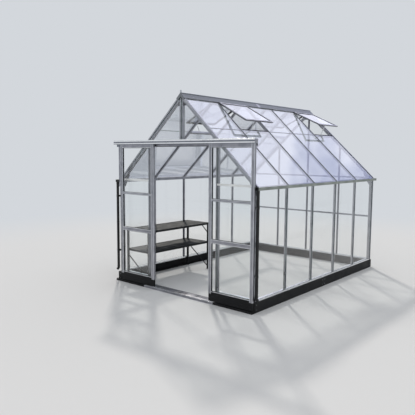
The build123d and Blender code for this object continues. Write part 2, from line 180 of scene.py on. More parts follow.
@dataclass(frozen=True)
class SolidFinish:
    """An opaque finish: soft clouds of two tones under a fine grain, both at real sizes in metres."""

    name: str
    slot: Slot
    dark: str
    light: str
    metallic: float = 0.0
    specular: float = 0.5
    roughness: Span = (0.4, 0.55)
    cloud_size: float = 0.11
    grain_size: float = 0.003
    grain_length: Point = (1.0, 1.0, 1.0)
    grain_turn: float = 0.0
    grain_strength: float = 0.12
    grain_height: float = 0.0003

    def tone(self, tree: Tree, place: Socket, share: Socket) -> Socket:
        """Mix the two tones of the finish.

        Args:
            tree: The node tree of the material.
            place: Object coordinates, for a finish whose tone follows the place.
            share: The clouds, from 0 to 1.

        Returns:
            The colour.
        """
        tones = {"data_type": "RGBA", 6: hex_colour(self.dark), 7: hex_colour(self.light)}
        return add_node(tree, "ShaderNodeMix", tones, {0: share}).outputs[2]

    def build(self) -> Coat:
        """Make the material.

        Returns:
            The finish, ready for use.
        """
        material, tree = new_material(self.name)
        place = add_node(tree, "ShaderNodeTexCoord").outputs["Object"]
        clouds = {"Scale": 1 / self.cloud_size, "Detail": 4.0}
        cloud = add_node(tree, "ShaderNodeTexNoise", clouds, {"Vector": place}).outputs["Fac"]
        # Noise keeps mostly between 0.3 and 0.7, so that range is spread over the whole scale
        spread = {"From Min": 0.3, "From Max": 0.7}
        share = add_node(tree, "ShaderNodeMapRange", spread, {"Value": cloud}).outputs["Result"]
        gloss = {**spread, "To Min": self.roughness[0], "To Max": self.roughness[1]}
        rough = add_node(tree, "ShaderNodeMapRange", gloss, {"Value": cloud}).outputs["Result"]
        turned = add_node(tree, "ShaderNodeMapping", {"Rotation": (0, self.grain_turn, 0)}, {"Vector": place})
        scale = tuple(1 / (self.grain_size * length) for length in self.grain_length)
        drawn = add_node(tree, "ShaderNodeMapping", {"Scale": scale}, {"Vector": turned.outputs["Vector"]})
        grain = add_node(tree, "ShaderNodeTexNoise", {"Scale": 1.0}, {"Vector": drawn.outputs["Vector"]})
        depth = {"Strength": self.grain_strength, "Distance": self.grain_height}
        bump = add_node(tree, "ShaderNodeBump", depth, {"Height": grain.outputs["Fac"]})
        settings = {"Metallic": self.metallic, "Specular IOR Level": self.specular}
        colour = self.tone(tree, place, share)
        links = {"Base Color": colour, "Roughness": rough, "Normal": bump.outputs["Normal"]}
        shader = add_node(tree, "ShaderNodeBsdfPrincipled", settings, links)
        add_node(tree, "ShaderNodeOutputMaterial", {}, {"Surface": shader.outputs[0]})
        return Coat(material, self.slot)


@dataclass(frozen=True)
class MillAluminium(SolidFinish):
    """Extruded and left as it leaves the die: a satin grey metal, faint lines along it, a dull bloom.

    The real lines are a tenth of a millimetre apart and are drawn coarser, so that they show.
    """

    name: str = "mill_aluminium"
    slot: Slot = Slot.ALUMINIUM
    dark: str = "#84858C"
    light: str = "#A6A6AD"
    metallic: float = 1.0
    roughness: Span = (0.27, 0.43)
    grain_size: float = 0.0035
    grain_height: float = 0.0004


@dataclass(frozen=True)
class GutterAluminium(MillAluminium):
    """Extruded gutter: dull, with green-grey clouds over its grey."""

    name: str = "gutter_aluminium"
    dark: str = "#7F857F"
    light: str = "#A5AAA4"
    metallic: float = 0.85
    roughness: Span = (0.4, 0.58)
    grain_length: Point = (1.0, 100.0, 1.0)


@dataclass(frozen=True)
class PaleHighlightAluminium(SolidFinish):
    """Aluminium of beads, lips and rolled edges: smooth, with a pale tone that is a painted highlight."""

    name: str = "pale_highlight_aluminium"
    slot: Slot = Slot.ALUMINIUM
    # Pale tones of the painted highlight
    dark: str = "#CDD0D5"
    light: str = "#E8EAED"
    metallic: float = 0.8
    roughness: Span = (0.16, 0.28)
    cloud_size: float = 0.05
    grain_size: float = 0.006
    grain_strength: float = 0.05


@dataclass(frozen=True)
class HighlightBandAluminium(SolidFinish):
    """Aluminium with a painted highlight: bands of height painted pale where light catches the metal."""

    # Tone of the painted highlight, mixed in inside the bands
    highlight_tone: str = "#F6F7F8"
    bands: tuple[Span, Span] = ((0.0, 0.0), (0.0, 0.0))

    def tone(self, tree: Tree, place: Socket, share: Socket) -> Socket:
        """Mix the painted highlight tone over the plain ones.

        Args:
            tree: The node tree of the material.
            place: Object coordinates.
            share: The clouds, from 0 to 1.

        Returns:
            The colour.
        """
        height = add_node(tree, "ShaderNodeSeparateXYZ", {}, {0: place}).outputs["Z"]
        inside = []
        for low, high in self.bands:
            settings = {"operation": "COMPARE", 1: (low + high) / 2, 2: (high - low) / 2}
            inside.append(add_node(tree, "ShaderNodeMath", settings, {0: height}).outputs[0])
        # Inside either band the tone is a painted highlight
        highlight_tone = add_node(tree, "ShaderNodeMath", {"operation": "MAXIMUM"}, {0: inside[0], 1: inside[1]})
        dull = super().tone(tree, place, share)
        settings = {"data_type": "RGBA", 7: hex_colour(self.highlight_tone)}
        return add_node(tree, "ShaderNodeMix", settings, {0: highlight_tone.outputs[0], 6: dull}).outputs[2]


@dataclass(frozen=True)
class TrackAluminium(HighlightBandAluminium):
    """Extruded door track: its lips above and below the duller face carry a painted highlight in pale bands."""

    name: str = "track_aluminium"
    slot: Slot = Slot.ALUMINIUM
    dark: str = "#7B7E87"
    light: str = "#8B8E97"
    # Heights of the painted highlight bands on the track's lips
    bands: tuple[Span, Span] = ((1.886, 1.898), (1.917, 1.934))
    metallic: float = 0.8
    roughness: Span = (0.24, 0.38)
    cloud_size: float = 0.09
    grain_length: Point = (100.0, 1.0, 1.0)


@dataclass(frozen=True)
class RidgeAluminium(HighlightBandAluminium):
    """Extruded ridge cap under open sky: matt and darker, with a painted highlight on its crest and end lug."""

    name: str = "ridge_aluminium"
    slot: Slot = Slot.ALUMINIUM
    dark: str = "#75787C"
    light: str = "#909397"
    # Tone of the painted highlight on the crest and the end lug
    highlight_tone: str = "#C4C7CB"
    bands: tuple[Span, Span] = ((2.4985, 2.5065), (2.5065, 2.5335))
    metallic: float = 1.0
    roughness: Span = (0.42, 0.6)
    grain_length: Point = (1.0, 100.0, 1.0)


@dataclass(frozen=True)
class PowderCoat(SolidFinish):
    """Polyester powder baked on steel or aluminium: an even skin, a fine orange peel, a low sheen."""

    specular: float = 0.22
    roughness: Span = (0.5, 0.68)
    cloud_size: float = 0.16
    grain_size: float = 0.0024
    grain_strength: float = 0.2


@dataclass(frozen=True)
class MouldedPlastic(SolidFinish):
    """Moulded or extruded plastic and rubber: an even colour and soft highlights."""

    specular: float = 0.35
    grain_size: float = 0.004
    grain_strength: float = 0.1


@dataclass(frozen=True)
class ZincPlate(SolidFinish):
    """Bright zinc plate on steel bolts and clips: a cool metal with small clouds."""

    name: str = "zinc_plated_steel"
    slot: Slot = Slot.FIXINGS
    dark: str = "#9DA1A6"
    light: str = "#CDD0D3"
    metallic: float = 1.0
    roughness: Span = (0.22, 0.4)
    cloud_size: float = 0.006
    grain_size: float = 0.0015
    grain_strength: float = 0.05


@dataclass(frozen=True)
class ToughenedGlass:
    """Clear toughened glass: sharp reflections that wave a little from the furnace's rollers."""

    name: str
    index: float
    tint: str = "#FCFDFD"
    shade: str = "#F9FAFA"
    wave_size: float = 0.28
    wave_height: float = 0.0006
    wave_strength: float = 0.25

    def build(self) -> Coat:
        """Make the material: lamp, scattered and mirrored light pass it as if it were open.

        Returns:
            The finish, ready for use.
        """
        material, tree = new_material(self.name)
        place = add_node(tree, "ShaderNodeTexCoord").outputs["Object"]
        waves = {"Scale": 1 / self.wave_size, "Detail": 1.0}
        wave = add_node(tree, "ShaderNodeTexNoise", waves, {"Vector": place})
        depth = {"Strength": self.wave_strength, "Distance": self.wave_height}
        bump = add_node(tree, "ShaderNodeBump", depth, {"Height": wave.outputs["Fac"]})
        settings = {"Transmission Weight": 1.0, "Roughness": 0.0, "IOR": self.index}
        settings["Base Color"] = hex_colour(self.tint)
        glass = add_node(tree, "ShaderNodeBsdfPrincipled", settings, {"Normal": bump.outputs["Normal"]})
        clear = add_node(tree, "ShaderNodeBsdfTransparent", {"Color": hex_colour(self.shade)})
        path = add_node(tree, "ShaderNodeLightPath").outputs
        # A ray inside the pane counts as glossy too, and has to bend back on its way out
        least = {"operation": "SUBTRACT", "use_clamp": True}
        bounced = add_node(tree, "ShaderNodeMath", least, {0: path["Is Glossy Ray"], 1: path["Is Transmission Ray"]})
        passing = path["Is Shadow Ray"]
        for ray in (path["Is Diffuse Ray"], bounced.outputs[0]):
            passing = add_node(tree, "ShaderNodeMath", {"operation": "MAXIMUM"}, {0: passing, 1: ray}).outputs[0]
        shader = add_node(tree, "ShaderNodeMixShader", {}, {0: passing, 1: glass.outputs[0], 2: clear.outputs[0]})
        add_node(tree, "ShaderNodeOutputMaterial", {}, {"Surface": shader.outputs[0]})
        return Coat(material, Slot.GLASS)


class Finishes:
    """Every finish of the greenhouse, made once."""

    DIE_LINE_LENGTH = 100.0
    PITCH = math.radians(43.15)

    def __init__(self) -> None:
        """Make the finishes."""
        matt = {"roughness": (0.6, 0.78)}
        extruded = {"grain_size": 0.003, "grain_length": (1.0, 1.0, 60.0), "roughness": (0.32, 0.46)}
        self.bars = {run: self.bar(run) for run in Run}
        # Pale aluminium for beads, noses, lips and sills: its tone is a painted highlight
        self.bright = PaleHighlightAluminium().build()
        self.track = TrackAluminium().build()
        self.ridge = RidgeAluminium().build()
        self.gutter = GutterAluminium().build()
        self.zinc = ZincPlate().build()
        # Near-white powder coat on the gables' joint strips, the one nearly white thing on the house: its white is a
        # painted glint
        self.strip = PowderCoat("white_painted_glint_coat", Slot.ALUMINIUM, "#F2F3F3", "#FCFCFC", specular=0.5).build()
        # The roof mirrors the sky strongly, as a coated pane does, and its faint lavender tint is a painted sky
        # reflection that veils what lies under it
        self.roof_glass = ToughenedGlass("roof_glass", 2.8, "#E4E7F0").build()
        # The walls mirror less, or the pale studio would veil what stands behind them
        self.wall_glass = ToughenedGlass("wall_glass", 1.4).build()
        # The green of thick glass shows only where the eye looks along the pane, at its ground edge
        self.glass_edge = MouldedPlastic("ground_glass_edge", Slot.GLASS, "#8FBFAF", "#B5D8CC").build()
        # Black powder on the steel of the base and the kick panels: nearly black, and it doesn't shine
        self.base_coat = PowderCoat("black_powder_coat", Slot.BLACK_STEEL, "#0D0E10", "#1A1B1E").build()
        # The same powder on the staging, greyed a little by soil and water
        self.staging_coat = PowderCoat("staging_powder_coat", Slot.STAGING_STEEL, "#101215", "#1F2226").build()
        # Extruded PVC of the downpipes: black with faint lines down the pipe and a soft sheen
        self.pipe_plastic = MouldedPlastic("black_pvc", Slot.BLACK_PLASTIC, "#121213", "#1D1D1F", **extruded).build()
        # Moulded nylon of the rollers and hangers: black, slightly waxy
        self.roller_plastic = MouldedPlastic("black_nylon", Slot.ROLLER_PLASTIC, "#1A1A1B", "#262627").build()
        # EPDM rubber of gaskets, brushes and feet: matt black that hardly mirrors anything
        self.rubber = MouldedPlastic("black_epdm_rubber", Slot.RUBBER, "#0E0E0F", "#18181A", **matt).build()
        # Glazing rubber of the bars, gone grey in the sun
        self.seal = MouldedPlastic("grey_glazing_rubber", Slot.RUBBER, "#626468", "#787A7E", **matt).build()

    def bar(self, run: Run) -> Coat:
        """Make the mill finish of the bars that lie one way.

        Args:
            run: The way that the bars lie.

        Returns:
            The finish.
        """
        long = self.DIE_LINE_LENGTH
        length = {Run.UPRIGHT: (1.0, 1.0, long), Run.LENGTHWISE: (1.0, long, 1.0)}.get(run, (long, 1.0, 1.0))
        turn = {Run.SLOPE_RIGHT: -self.PITCH, Run.SLOPE_LEFT: self.PITCH}.get(run, 0.0)
        name = f"mill_aluminium_{run.value}"
        return MillAluminium(name, grain_length=length, grain_turn=turn).build()


class Piece:
    """One piece while it is made: a bmesh in metres, with its name, finish and body."""

    SHARP_ANGLE = math.radians(35)
    # Radius and height of the screws in thin rails and sheets
    SMALL_SCREW = (0.004, 0.0018)
    # Width of a washer by its head, and the rounding of heads by their height
    WASHER_WIDTH = 1.35
    HEAD_SOFTNESS = 0.12
    PAN_SOFTNESS = 0.45

    def __init__(self, name: str, coat: Coat, body: Body = Body.HOUSE) -> None:
        """Start an empty piece."""
        self.name, self.coat, self.body = name, coat, body
        self.mesh = bmesh.new()

    def soften(self, edges: Iterable[bmesh.types.BMEdge], width: float) -> None:
        """Round a set of edges, with one face across each rounding.

        Args:
            edges: The edges.
            width: How far the rounding reaches from each edge.
        """
        bmesh.ops.bevel(
            self.mesh,
            geom=list(edges),
            offset=width,
            affect="EDGES",
            segments=1,
            profile=0.5,
            clamp_overlap=True,
            material=-1,
        )

    def slab(self, low: Point, high: Point, place: Matrix | None = None, soft: float = 0.0) -> None:
        """Add a block between two corners.

        Args:
            low: One corner, in the block's own axes.
            high: The opposite corner.
            place: Where those axes lie in the model.
            soft: Width of the rounding of its edges.
        """
        a, b = Vector(low), Vector(high)
        size = [abs(x) for x in b - a]
        local = Matrix.Translation((a + b) / 2) @ Matrix.Diagonal((*size, 1.0))
        made = bmesh.ops.create_cube(self.mesh, size=1.0, matrix=(place or Matrix.Identity(4)) @ local)
        if soft:
            self.soften({e for v in made["verts"] for e in v.link_edges}, soft)

    def rod(self, start: Point, end: Point, radius: float, sides: int = 12, soft: float = 0.0) -> None:
        """Add a round bar between two points.

        Args:
            start: Middle of one end.
            end: Middle of the other end.
            radius: The bar's radius.
            sides: Number of its faces.
            soft: Width of the rounding of its rims.
        """
        a, b = Vector(start), Vector(end)
        turn = (b - a).to_track_quat("Z", "Y").to_matrix().to_4x4()
        made = bmesh.ops.create_cone(
            self.mesh,
            cap_ends=True,
            segments=sides,
            radius1=radius,
            radius2=radius,
            depth=(b - a).length,
            matrix=Matrix.Translation((a + b) / 2) @ turn,
        )
        if soft:
            edges = {e for v in made["verts"] for e in v.link_edges}
            self.soften([e for e in edges if e.calc_face_angle(0) > self.SHARP_ANGLE], soft)

    def bar(self, place: Matrix, length: float, radius: float) -> None:
        """Add a round bar from a place along its X."""
        self.rod(place.translation, place @ Vector((length, 0, 0)), radius)

    def prism(self, outline: Iterable[Point], depth: float, place: Matrix, soft: float = 0.0) -> None:
        """Add a flat outline of a few points, made thick.

        Args:
            outline: Corners of the outline, in the XY plane of its place.
            depth: Thickness along Z.
            place: Where the outline lies in the model.
            soft: Width of the rounding of its edges.
        """
        corners = [self.mesh.verts.new(place @ Vector((x, y, 0.0))) for x, y in outline]
        grown = bmesh.ops.extrude_face_region(self.mesh, geom=[self.mesh.faces.new(corners)])["geom"]
        moved = [g for g in grown if isinstance(g, bmesh.types.BMVert)]
        bmesh.ops.translate(self.mesh, verts=moved, vec=place.to_3x3() @ Vector((0, 0, depth)))
        if soft:
            self.soften({e for v in corners + moved for e in v.link_edges}, soft)

    def bolt(self, place: Matrix, across: float = 0.010, height: float = 0.004) -> None:
        """Add a hexagon bolt head on a washer.

        Args:
            place: Where it stands: its axis is Z.
            across: Width over the points' flats.
            height: Height of head and washer together.
        """
        radius, washer = across / math.sqrt(3), height / 4
        middle = place @ Vector((0, 0, washer))
        self.rod(place.translation, middle, radius * self.WASHER_WIDTH)
        self.rod(middle, place @ Vector((0, 0, height)), radius, sides=6, soft=height * self.HEAD_SOFTNESS)

    def screw(self, place: Matrix, radius: float = 0.0045, height: float = 0.002) -> None:
        """Add a low pan head on Z of its place."""
        self.rod(place.translation, place @ Vector((0, 0, height)), radius, soft=height * self.PAN_SOFTNESS)

    def done(self) -> bpy.types.Object:
        """Turn the bmesh to an object, dress it and hang it on its body.

        Returns:
            The finished object.
        """
        bmesh.ops.recalc_face_normals(self.mesh, faces=self.mesh.faces[:])
        for face in self.mesh.faces:
            face.smooth = True
        mesh = bpy.data.meshes.new(self.name)
        self.mesh.to_mesh(mesh)
        self.mesh.free()
        mesh.set_sharp_from_angle(angle=self.SHARP_ANGLE)
        mesh.materials.append(self.coat.material)
        made = bpy.data.objects.new(self.name, mesh)
        bpy.context.scene.collection.objects.link(made)
        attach(made, self.body.value)
        LOG.info("%s: %d faces on %s", self.name, len(mesh.polygons), self.body.value)
        return made


def facing(origin: Point, out: Point, along: Point, beside: Point | None = None) -> Matrix:
    """Place whose Z points out of a surface and whose X runs along it.

    Args:
        origin: A point on the surface.
        out: The surface's outward direction.
        along: The direction of X.
        beside: The direction of Y, where it matters to which side that is.

    Returns:
        The matrix from the place's own axes to the model.
    """
    z = Vector(out).normalized()
    x = Vector(along).normalized()
    y = Vector(beside).normalized() if beside else z.cross(x)
    return Matrix.Translation(origin) @ Matrix((x, y, z)).transposed().to_4x4()


@dataclass
class House:
    """The lines that the details are placed by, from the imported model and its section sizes."""

    bays: int = 5
    # Degrees that the vents of a bay stand open, by the bay's number from the front
    vents: dict[int, float] = field(default_factory=lambda: {1: 14.8, 4: 18.9})
    rib_width: float = 0.008
    rib_height: float = 0.010
    bar_width: float = 0.032
    flange: float = 0.004
    web: float = 0.006
    web_depth: float = 0.026
    post: float = 0.036
    glass: float = 0.003
    glass_gap: float = 0.002
    overhang: float = 0.018
    roof_joint: float = 0.612
    ridge_width: float = 0.044
    cap_reach: float = 0.082
    cap_thickness: float = 0.004
    nose_radius: float = 0.0042
    nose_proud: float = 0.0003
    strip_lift: float = 0.0003

    def __post_init__(self) -> None:
        """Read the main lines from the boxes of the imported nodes."""
        posts_low, posts_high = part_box("corner_posts")
        beam_low, beam_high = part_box("eaves_beams")
        sill_low, sill_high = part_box("sills")
        base_low, base_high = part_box("base_side_right")
        self.face_x = posts_high.x - self.rib_height
        self.front_y = posts_low.y + self.rib_height
        self.back_y = posts_high.y - self.rib_height
        self.beam_bottom, self.wall_top = beam_low.z, beam_high.z
        self.base_top, self.sill_top = sill_low.z, sill_high.z
        self.base_x, self.base_front, self.base_rear = base_high.x, base_low.y, base_high.y
        self.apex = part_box("ridge_beam")[1].z
        self.jamb_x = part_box("door_jambs")[1].x - self.post / 2
        self.track_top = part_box("door_track")[1].z
        self.post_inner = self.face_x - self.post
        self.pitch = math.atan2(self.apex - self.wall_top, self.face_x)
        self.slope = math.hypot(self.apex - self.wall_top, self.face_x)
        self.length = self.back_y - self.front_y
        self.middle_y = (self.front_y + self.back_y) / 2
        self.joint_up = self.slope - self.roof_joint
        self.cap_up = self.slope - self.cap_reach
        self.nose_lift = self.rib_height - self.nose_radius + self.nose_proud
        bay = self.length / self.bays
        self.bar_lines = [self.front_y + i * bay for i in range(1, self.bays)]

    def end_y(self, gable: Gable, inwards: float = 0.0) -> float:
        """Y of a gable's face, or of a plane some way inside it."""
        return (self.back_y - inwards) if gable is Gable.BACK else (self.front_y + inwards)

    def pane_spans(self) -> list[Span]:
        """Find the front and back edge of the glass of each bay.

        Returns:
            Both edges, by distance along the house, from the front bay to the back one.
        """
        edge = self.rib_width / 2 + self.glass_gap
        corner = self.rib_width + self.glass_gap
        starts = [self.front_y + corner] + [y + edge for y in self.bar_lines]
        ends = [y - edge for y in self.bar_lines] + [self.back_y - corner]
        return list(zip(starts, ends))

    def rib_sides(self) -> list[tuple[int, float, int]]:
        """Find every side of a rib that has a pane beside it.

        Returns:
            The bay, the rib's middle line and the way to the pane, from front to back.
        """
        half = self.rib_width / 2
        lines = [self.front_y + half, *self.bar_lines, self.back_y - half]
        pairs = list(zip(lines, lines[1:]))
        return [(i, y, way) for i, pair in enumerate(pairs) for y, way in zip(pair, (1, -1))]

    def on_slope(self, side: Side, y: float, up: float = 0.0, lift: float = 0.0, way: int = 1) -> Matrix:
        """Place on the outer face of the roof bars.

        Args:
            side: The slope.
            y: Distance along the house.
            up: Distance up the slope from the eaves.
            lift: Distance out of the face.
            way: 1 for Y to the back, -1 for Y to the front.

        Returns:
            A place with X up the slope and Z outwards.
        """
        c, s = math.cos(self.pitch), math.sin(self.pitch)
        along, out = Vector((-side.value * c, 0, s)), Vector((side.value * s, 0, c))
        origin = Vector((side.value * self.face_x, y, self.wall_top)) + along * up + out * lift
        return facing(origin, out, along, (0, way, 0))

    def on_wall(self, side: Side, y: float, z: float, lift: float = 0.0, way: int = 1) -> Matrix:
        """Place on the face of a side wall: X upwards, Y to the back or by way, Z outwards."""
        return facing((side.value * (self.face_x + lift), y, z), (side.value, 0, 0), UP, (0, way, 0))

    def on_gable(self, gable: Gable, x: float, z: float, lift: float = 0.0, way: int = 1) -> Matrix:
        """Place on the outer face of a gable: X upwards, Y to the right or by way, Z outwards."""
        return facing((x, self.end_y(gable, -lift), z), (0, gable.value, 0), UP, (way, 0, 0))

    def under_rafter(self, gable: Gable, side: Side, up: float, drop: float, lift: float) -> Matrix:
        """Place on a gable, under a rafter.

        Args:
            gable: The gable.
            side: The rafter's side.
            up: Distance up the slope from the eaves.
            drop: Distance inwards from the roof's face.
            lift: Distance out of the gable's face.

        Returns:
            A place with X up the slope, Y down and inwards, and Z outwards.
        """
        c, s = math.cos(self.pitch), math.sin(self.pitch)
        along, inward = Vector((-side.value * c, 0, s)), Vector((-side.value * s, 0, -c))
        corner = Vector((side.value * self.face_x, self.end_y(gable, -lift), self.wall_top))
        return facing(corner + inward * drop + along * up, (0, gable.value, 0), along, inward)

    def down_slope(self, distance: float, lift: float) -> Span:
        """X and Z of a point on the right slope, a distance down from the ridge line."""
        c, s = math.cos(self.pitch), math.sin(self.pitch)
        return distance * c + lift * s, self.apex - distance * s + lift * c

    def roof_level(self, x: float) -> float:
        """Height of the outer face of the roof bars over a distance from the middle."""
        return self.apex - abs(x) * math.tan(self.pitch)


@dataclass(frozen=True)
class Seal:
    """The strip of rubber that lies on the glass along a bar."""

    width: float = 0.0028
    rise: float = 0.0026
    soft: float = 0.0009

    def lay(self, piece: Piece, place: Matrix, length: float, edge: float, low: float) -> None:
        """Lay one strip.

        Args:
            piece: The piece that gets the strip.
            place: Its start, with X along it and Y to its side.
            length: Length of the strip.
            edge: Distance from the place's X axis to the strip.
            low: Height of the glass over the place.
        """
        piece.slab((0, edge, low), (length, edge + self.width, low + self.rise), place, self.soft)


@dataclass
class Fittings:
    """A family of details, placed by the lines of the house."""

    house: House
    finishes: Finishes


@dataclass
class Panes(Fittings):
    """Panes of the walls, the roof and the gables, each a hair off the bars it rests on."""

    stand_off: float = 0.0005
    reach: float = 0.0002
    weld: float = 0.00002
    flat_angle: float = math.radians(1)
    arris: float = 0.0005
    face_share: float = 0.9

    def build(self) -> None:
        """Set every pane that stands for an imported one."""
        house, made = self.house, self.finishes
        c, s = math.cos(house.pitch), math.sin(house.pitch)
        for side in Side:
            face = Vector((side.value * house.face_x, 0, house.wall_top))
            wall, slope = Vector((side.value, 0, 0)), Vector((side.value * s, 0, c))
            self.set_panes(f"wall_glass_{side.word}", f"wall_panes_{side.word}", made.wall_glass, face, wall)
            self.set_panes(f"roof_glass_{side.word}", f"roof_panes_{side.word}", made.roof_glass, face, slope)
        for gable in Gable:
            face, out = Vector((0, house.end_y(gable), 0)), Vector((0, gable.value, 0))
            self.set_panes(f"{gable.word}_glass", f"{gable.word}_panes", made.wall_glass, face, out)

    def set_panes(self, node: str, name: str, coat: Coat, face: Vector, out: Vector) -> None:
        """Copy the panes of a node, lift their inner faces off the bars and grind their edges.

        Args:
            node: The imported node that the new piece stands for.
            name: Name of the new piece.
            coat: Its glass.
            face: A point on the plane of the bars' faces.
            out: The outward direction of that plane.
        """
        piece = Piece(name, coat)
        mesh = piece.mesh
        mesh.from_mesh(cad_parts[node].data)
        bmesh.ops.remove_doubles(mesh, verts=mesh.verts[:], dist=self.weld)
        bmesh.ops.dissolve_limit(mesh, angle_limit=self.flat_angle, verts=mesh.verts[:], edges=mesh.edges[:])
        inner = [v for v in mesh.verts if abs((v.co - face).dot(out)) < self.reach]
        bmesh.ops.translate(mesh, verts=inner, vec=out * self.stand_off)
        piece.soften(mesh.edges[:], self.arris)
        made = piece.done()
        made.data.materials.append(self.finishes.glass_edge.material)
        for polygon in made.data.polygons:
            if abs(polygon.normal.dot(out)) < self.face_share:
                polygon.material_index = 1
        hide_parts(node)


@dataclass
class SideGlazing(Fittings):
    """Seals, joint strips, bar noses and spring clips of one side wall and the slope above it."""

    side: Side
    seal: Seal = Seal()
    strip_width: float = 0.012
    strip_rise: float = 0.0035
    roof_nose_start: float = 0.004
    clip_length: float = 0.016
    clip_reach: float = 0.009
    clip_gauge: float = 0.0012
    clip_spacing: float = 0.36

    def build(self) -> None:
        """Make every piece of the side."""
        self.wall_seals()
        self.roof_seals()
        self.joint_strips()
        self.bar_noses()
        self.clips()

    def start(self, name: str, coat: Coat) -> Piece:
        """Start a piece of this side."""
        return Piece(f"{name}_{self.side.word}", coat)

    def wall_seals(self) -> None:
        """Seal both sides of each upright bar, the sill and the eaves."""
        house = self.house
        piece = self.start("wall_seals", self.finishes.seal)
        height, edge = house.beam_bottom - house.sill_top, house.rib_width / 2
        for _, y, way in house.rib_sides():
            self.seal.lay(piece, house.on_wall(self.side, y, house.sill_top, way=way), height, edge, house.glass)
        width, low, high = self.seal.width, house.glass, house.glass + self.seal.rise
        for near, far in house.pane_spans():
            for up in (0, height - width):
                place = house.on_wall(self.side, near, house.sill_top + up)
                piece.slab((0, width, low), (width, far - near - width, high), place, self.seal.soft)
        piece.done()

    def roof_seals(self) -> None:
        """Seal both sides of each roof bar, as far as the glass goes."""
        house = self.house
        piece = self.start("roof_seals", self.finishes.seal)
        full = house.cap_up + house.overhang
        lower = house.joint_up - self.strip_width + house.overhang
        for number, y, way in house.rib_sides():
            place = house.on_slope(self.side, y, -house.overhang, way=way)
            length = lower if number in house.vents else full
            self.seal.lay(piece, place, length, house.rib_width / 2, house.glass)
        piece.done()

    def joint_strips(self) -> None:
        """Lay flat strips over the joints between the upper and lower roof panes."""
        house = self.house
        piece = self.start("roof_joint_strips", self.finishes.bars[Run.LENGTHWISE])
        for number, (low, high) in enumerate(house.pane_spans()):
            if number in house.vents:
                continue
            place = house.on_slope(self.side, (low + high) / 2, house.joint_up, house.glass + house.strip_lift)
            half, wide = (high - low) / 2 - self.seal.width, self.strip_width / 2
            piece.slab((-wide, -half, 0), (wide, half, self.strip_rise), place, soft=0.001)
        piece.done()

    def bar_noses(self) -> None:
        """Round the noses of the ribs, which catch the light."""
        house, lift, radius = self.house, self.house.nose_lift, self.house.nose_radius
        edge = house.rib_height - house.rib_width / 2
        lines = [house.front_y - edge, *house.bar_lines, house.back_y + edge]
        # The wall noses get the pale finish, a painted highlight; the roof noses keep the bars' own finish
        walls = self.start("wall_bar_noses", self.finishes.bright)
        run = Run.SLOPE_RIGHT if self.side is Side.RIGHT else Run.SLOPE_LEFT
        roof = self.start("roof_bar_noses", self.finishes.bars[run])
        start = self.roof_nose_start
        for y in lines:
            bottom = house.base_top if y in (lines[0], lines[-1]) else house.sill_top
            walls.bar(house.on_wall(self.side, y, bottom, lift), house.beam_bottom - bottom, radius)
            roof.bar(house.on_slope(self.side, y, start, lift), house.cap_up - start, radius)
        walls.done()
        roof.done()

    def clips(self) -> None:
        """Hook spring clips on the ribs, pressing on the seals of the wall and the lower roof."""
        house = self.house
        piece = self.start("spring_clips", self.finishes.zinc)
        for _, y, way in house.rib_sides():
            for up in self.clip_places(house.beam_bottom - house.sill_top):
                self.clip(piece, house.on_wall(self.side, y, house.sill_top + up, way=way))
            for up in self.clip_places(house.joint_up):
                self.clip(piece, house.on_slope(self.side, y, up, way=way))
        piece.done()

    def clip_places(self, length: float) -> list[float]:
        """Distances of the clips from the start of a seal."""
        count = int(length // self.clip_spacing)
        return [(k + 0.5) * length / count for k in range(count)]

    def clip(self, piece: Piece, place: Matrix) -> None:
        """Add one clip: a foot that presses on the seal and a shank up the side of the rib.

        Args:
            piece: The piece of the clips.
            place: Middle of the clip on the rib's line, with Y to the clip's side.
        """
        half, long, gauge = self.house.rib_width / 2, self.clip_length / 2, self.clip_gauge
        foot = self.house.glass + self.seal.rise
        piece.slab((-long, half, foot), (long, half + self.clip_reach, foot + gauge), place)
        piece.slab((-long, half, foot), (long, half + gauge, self.house.rib_height), place)


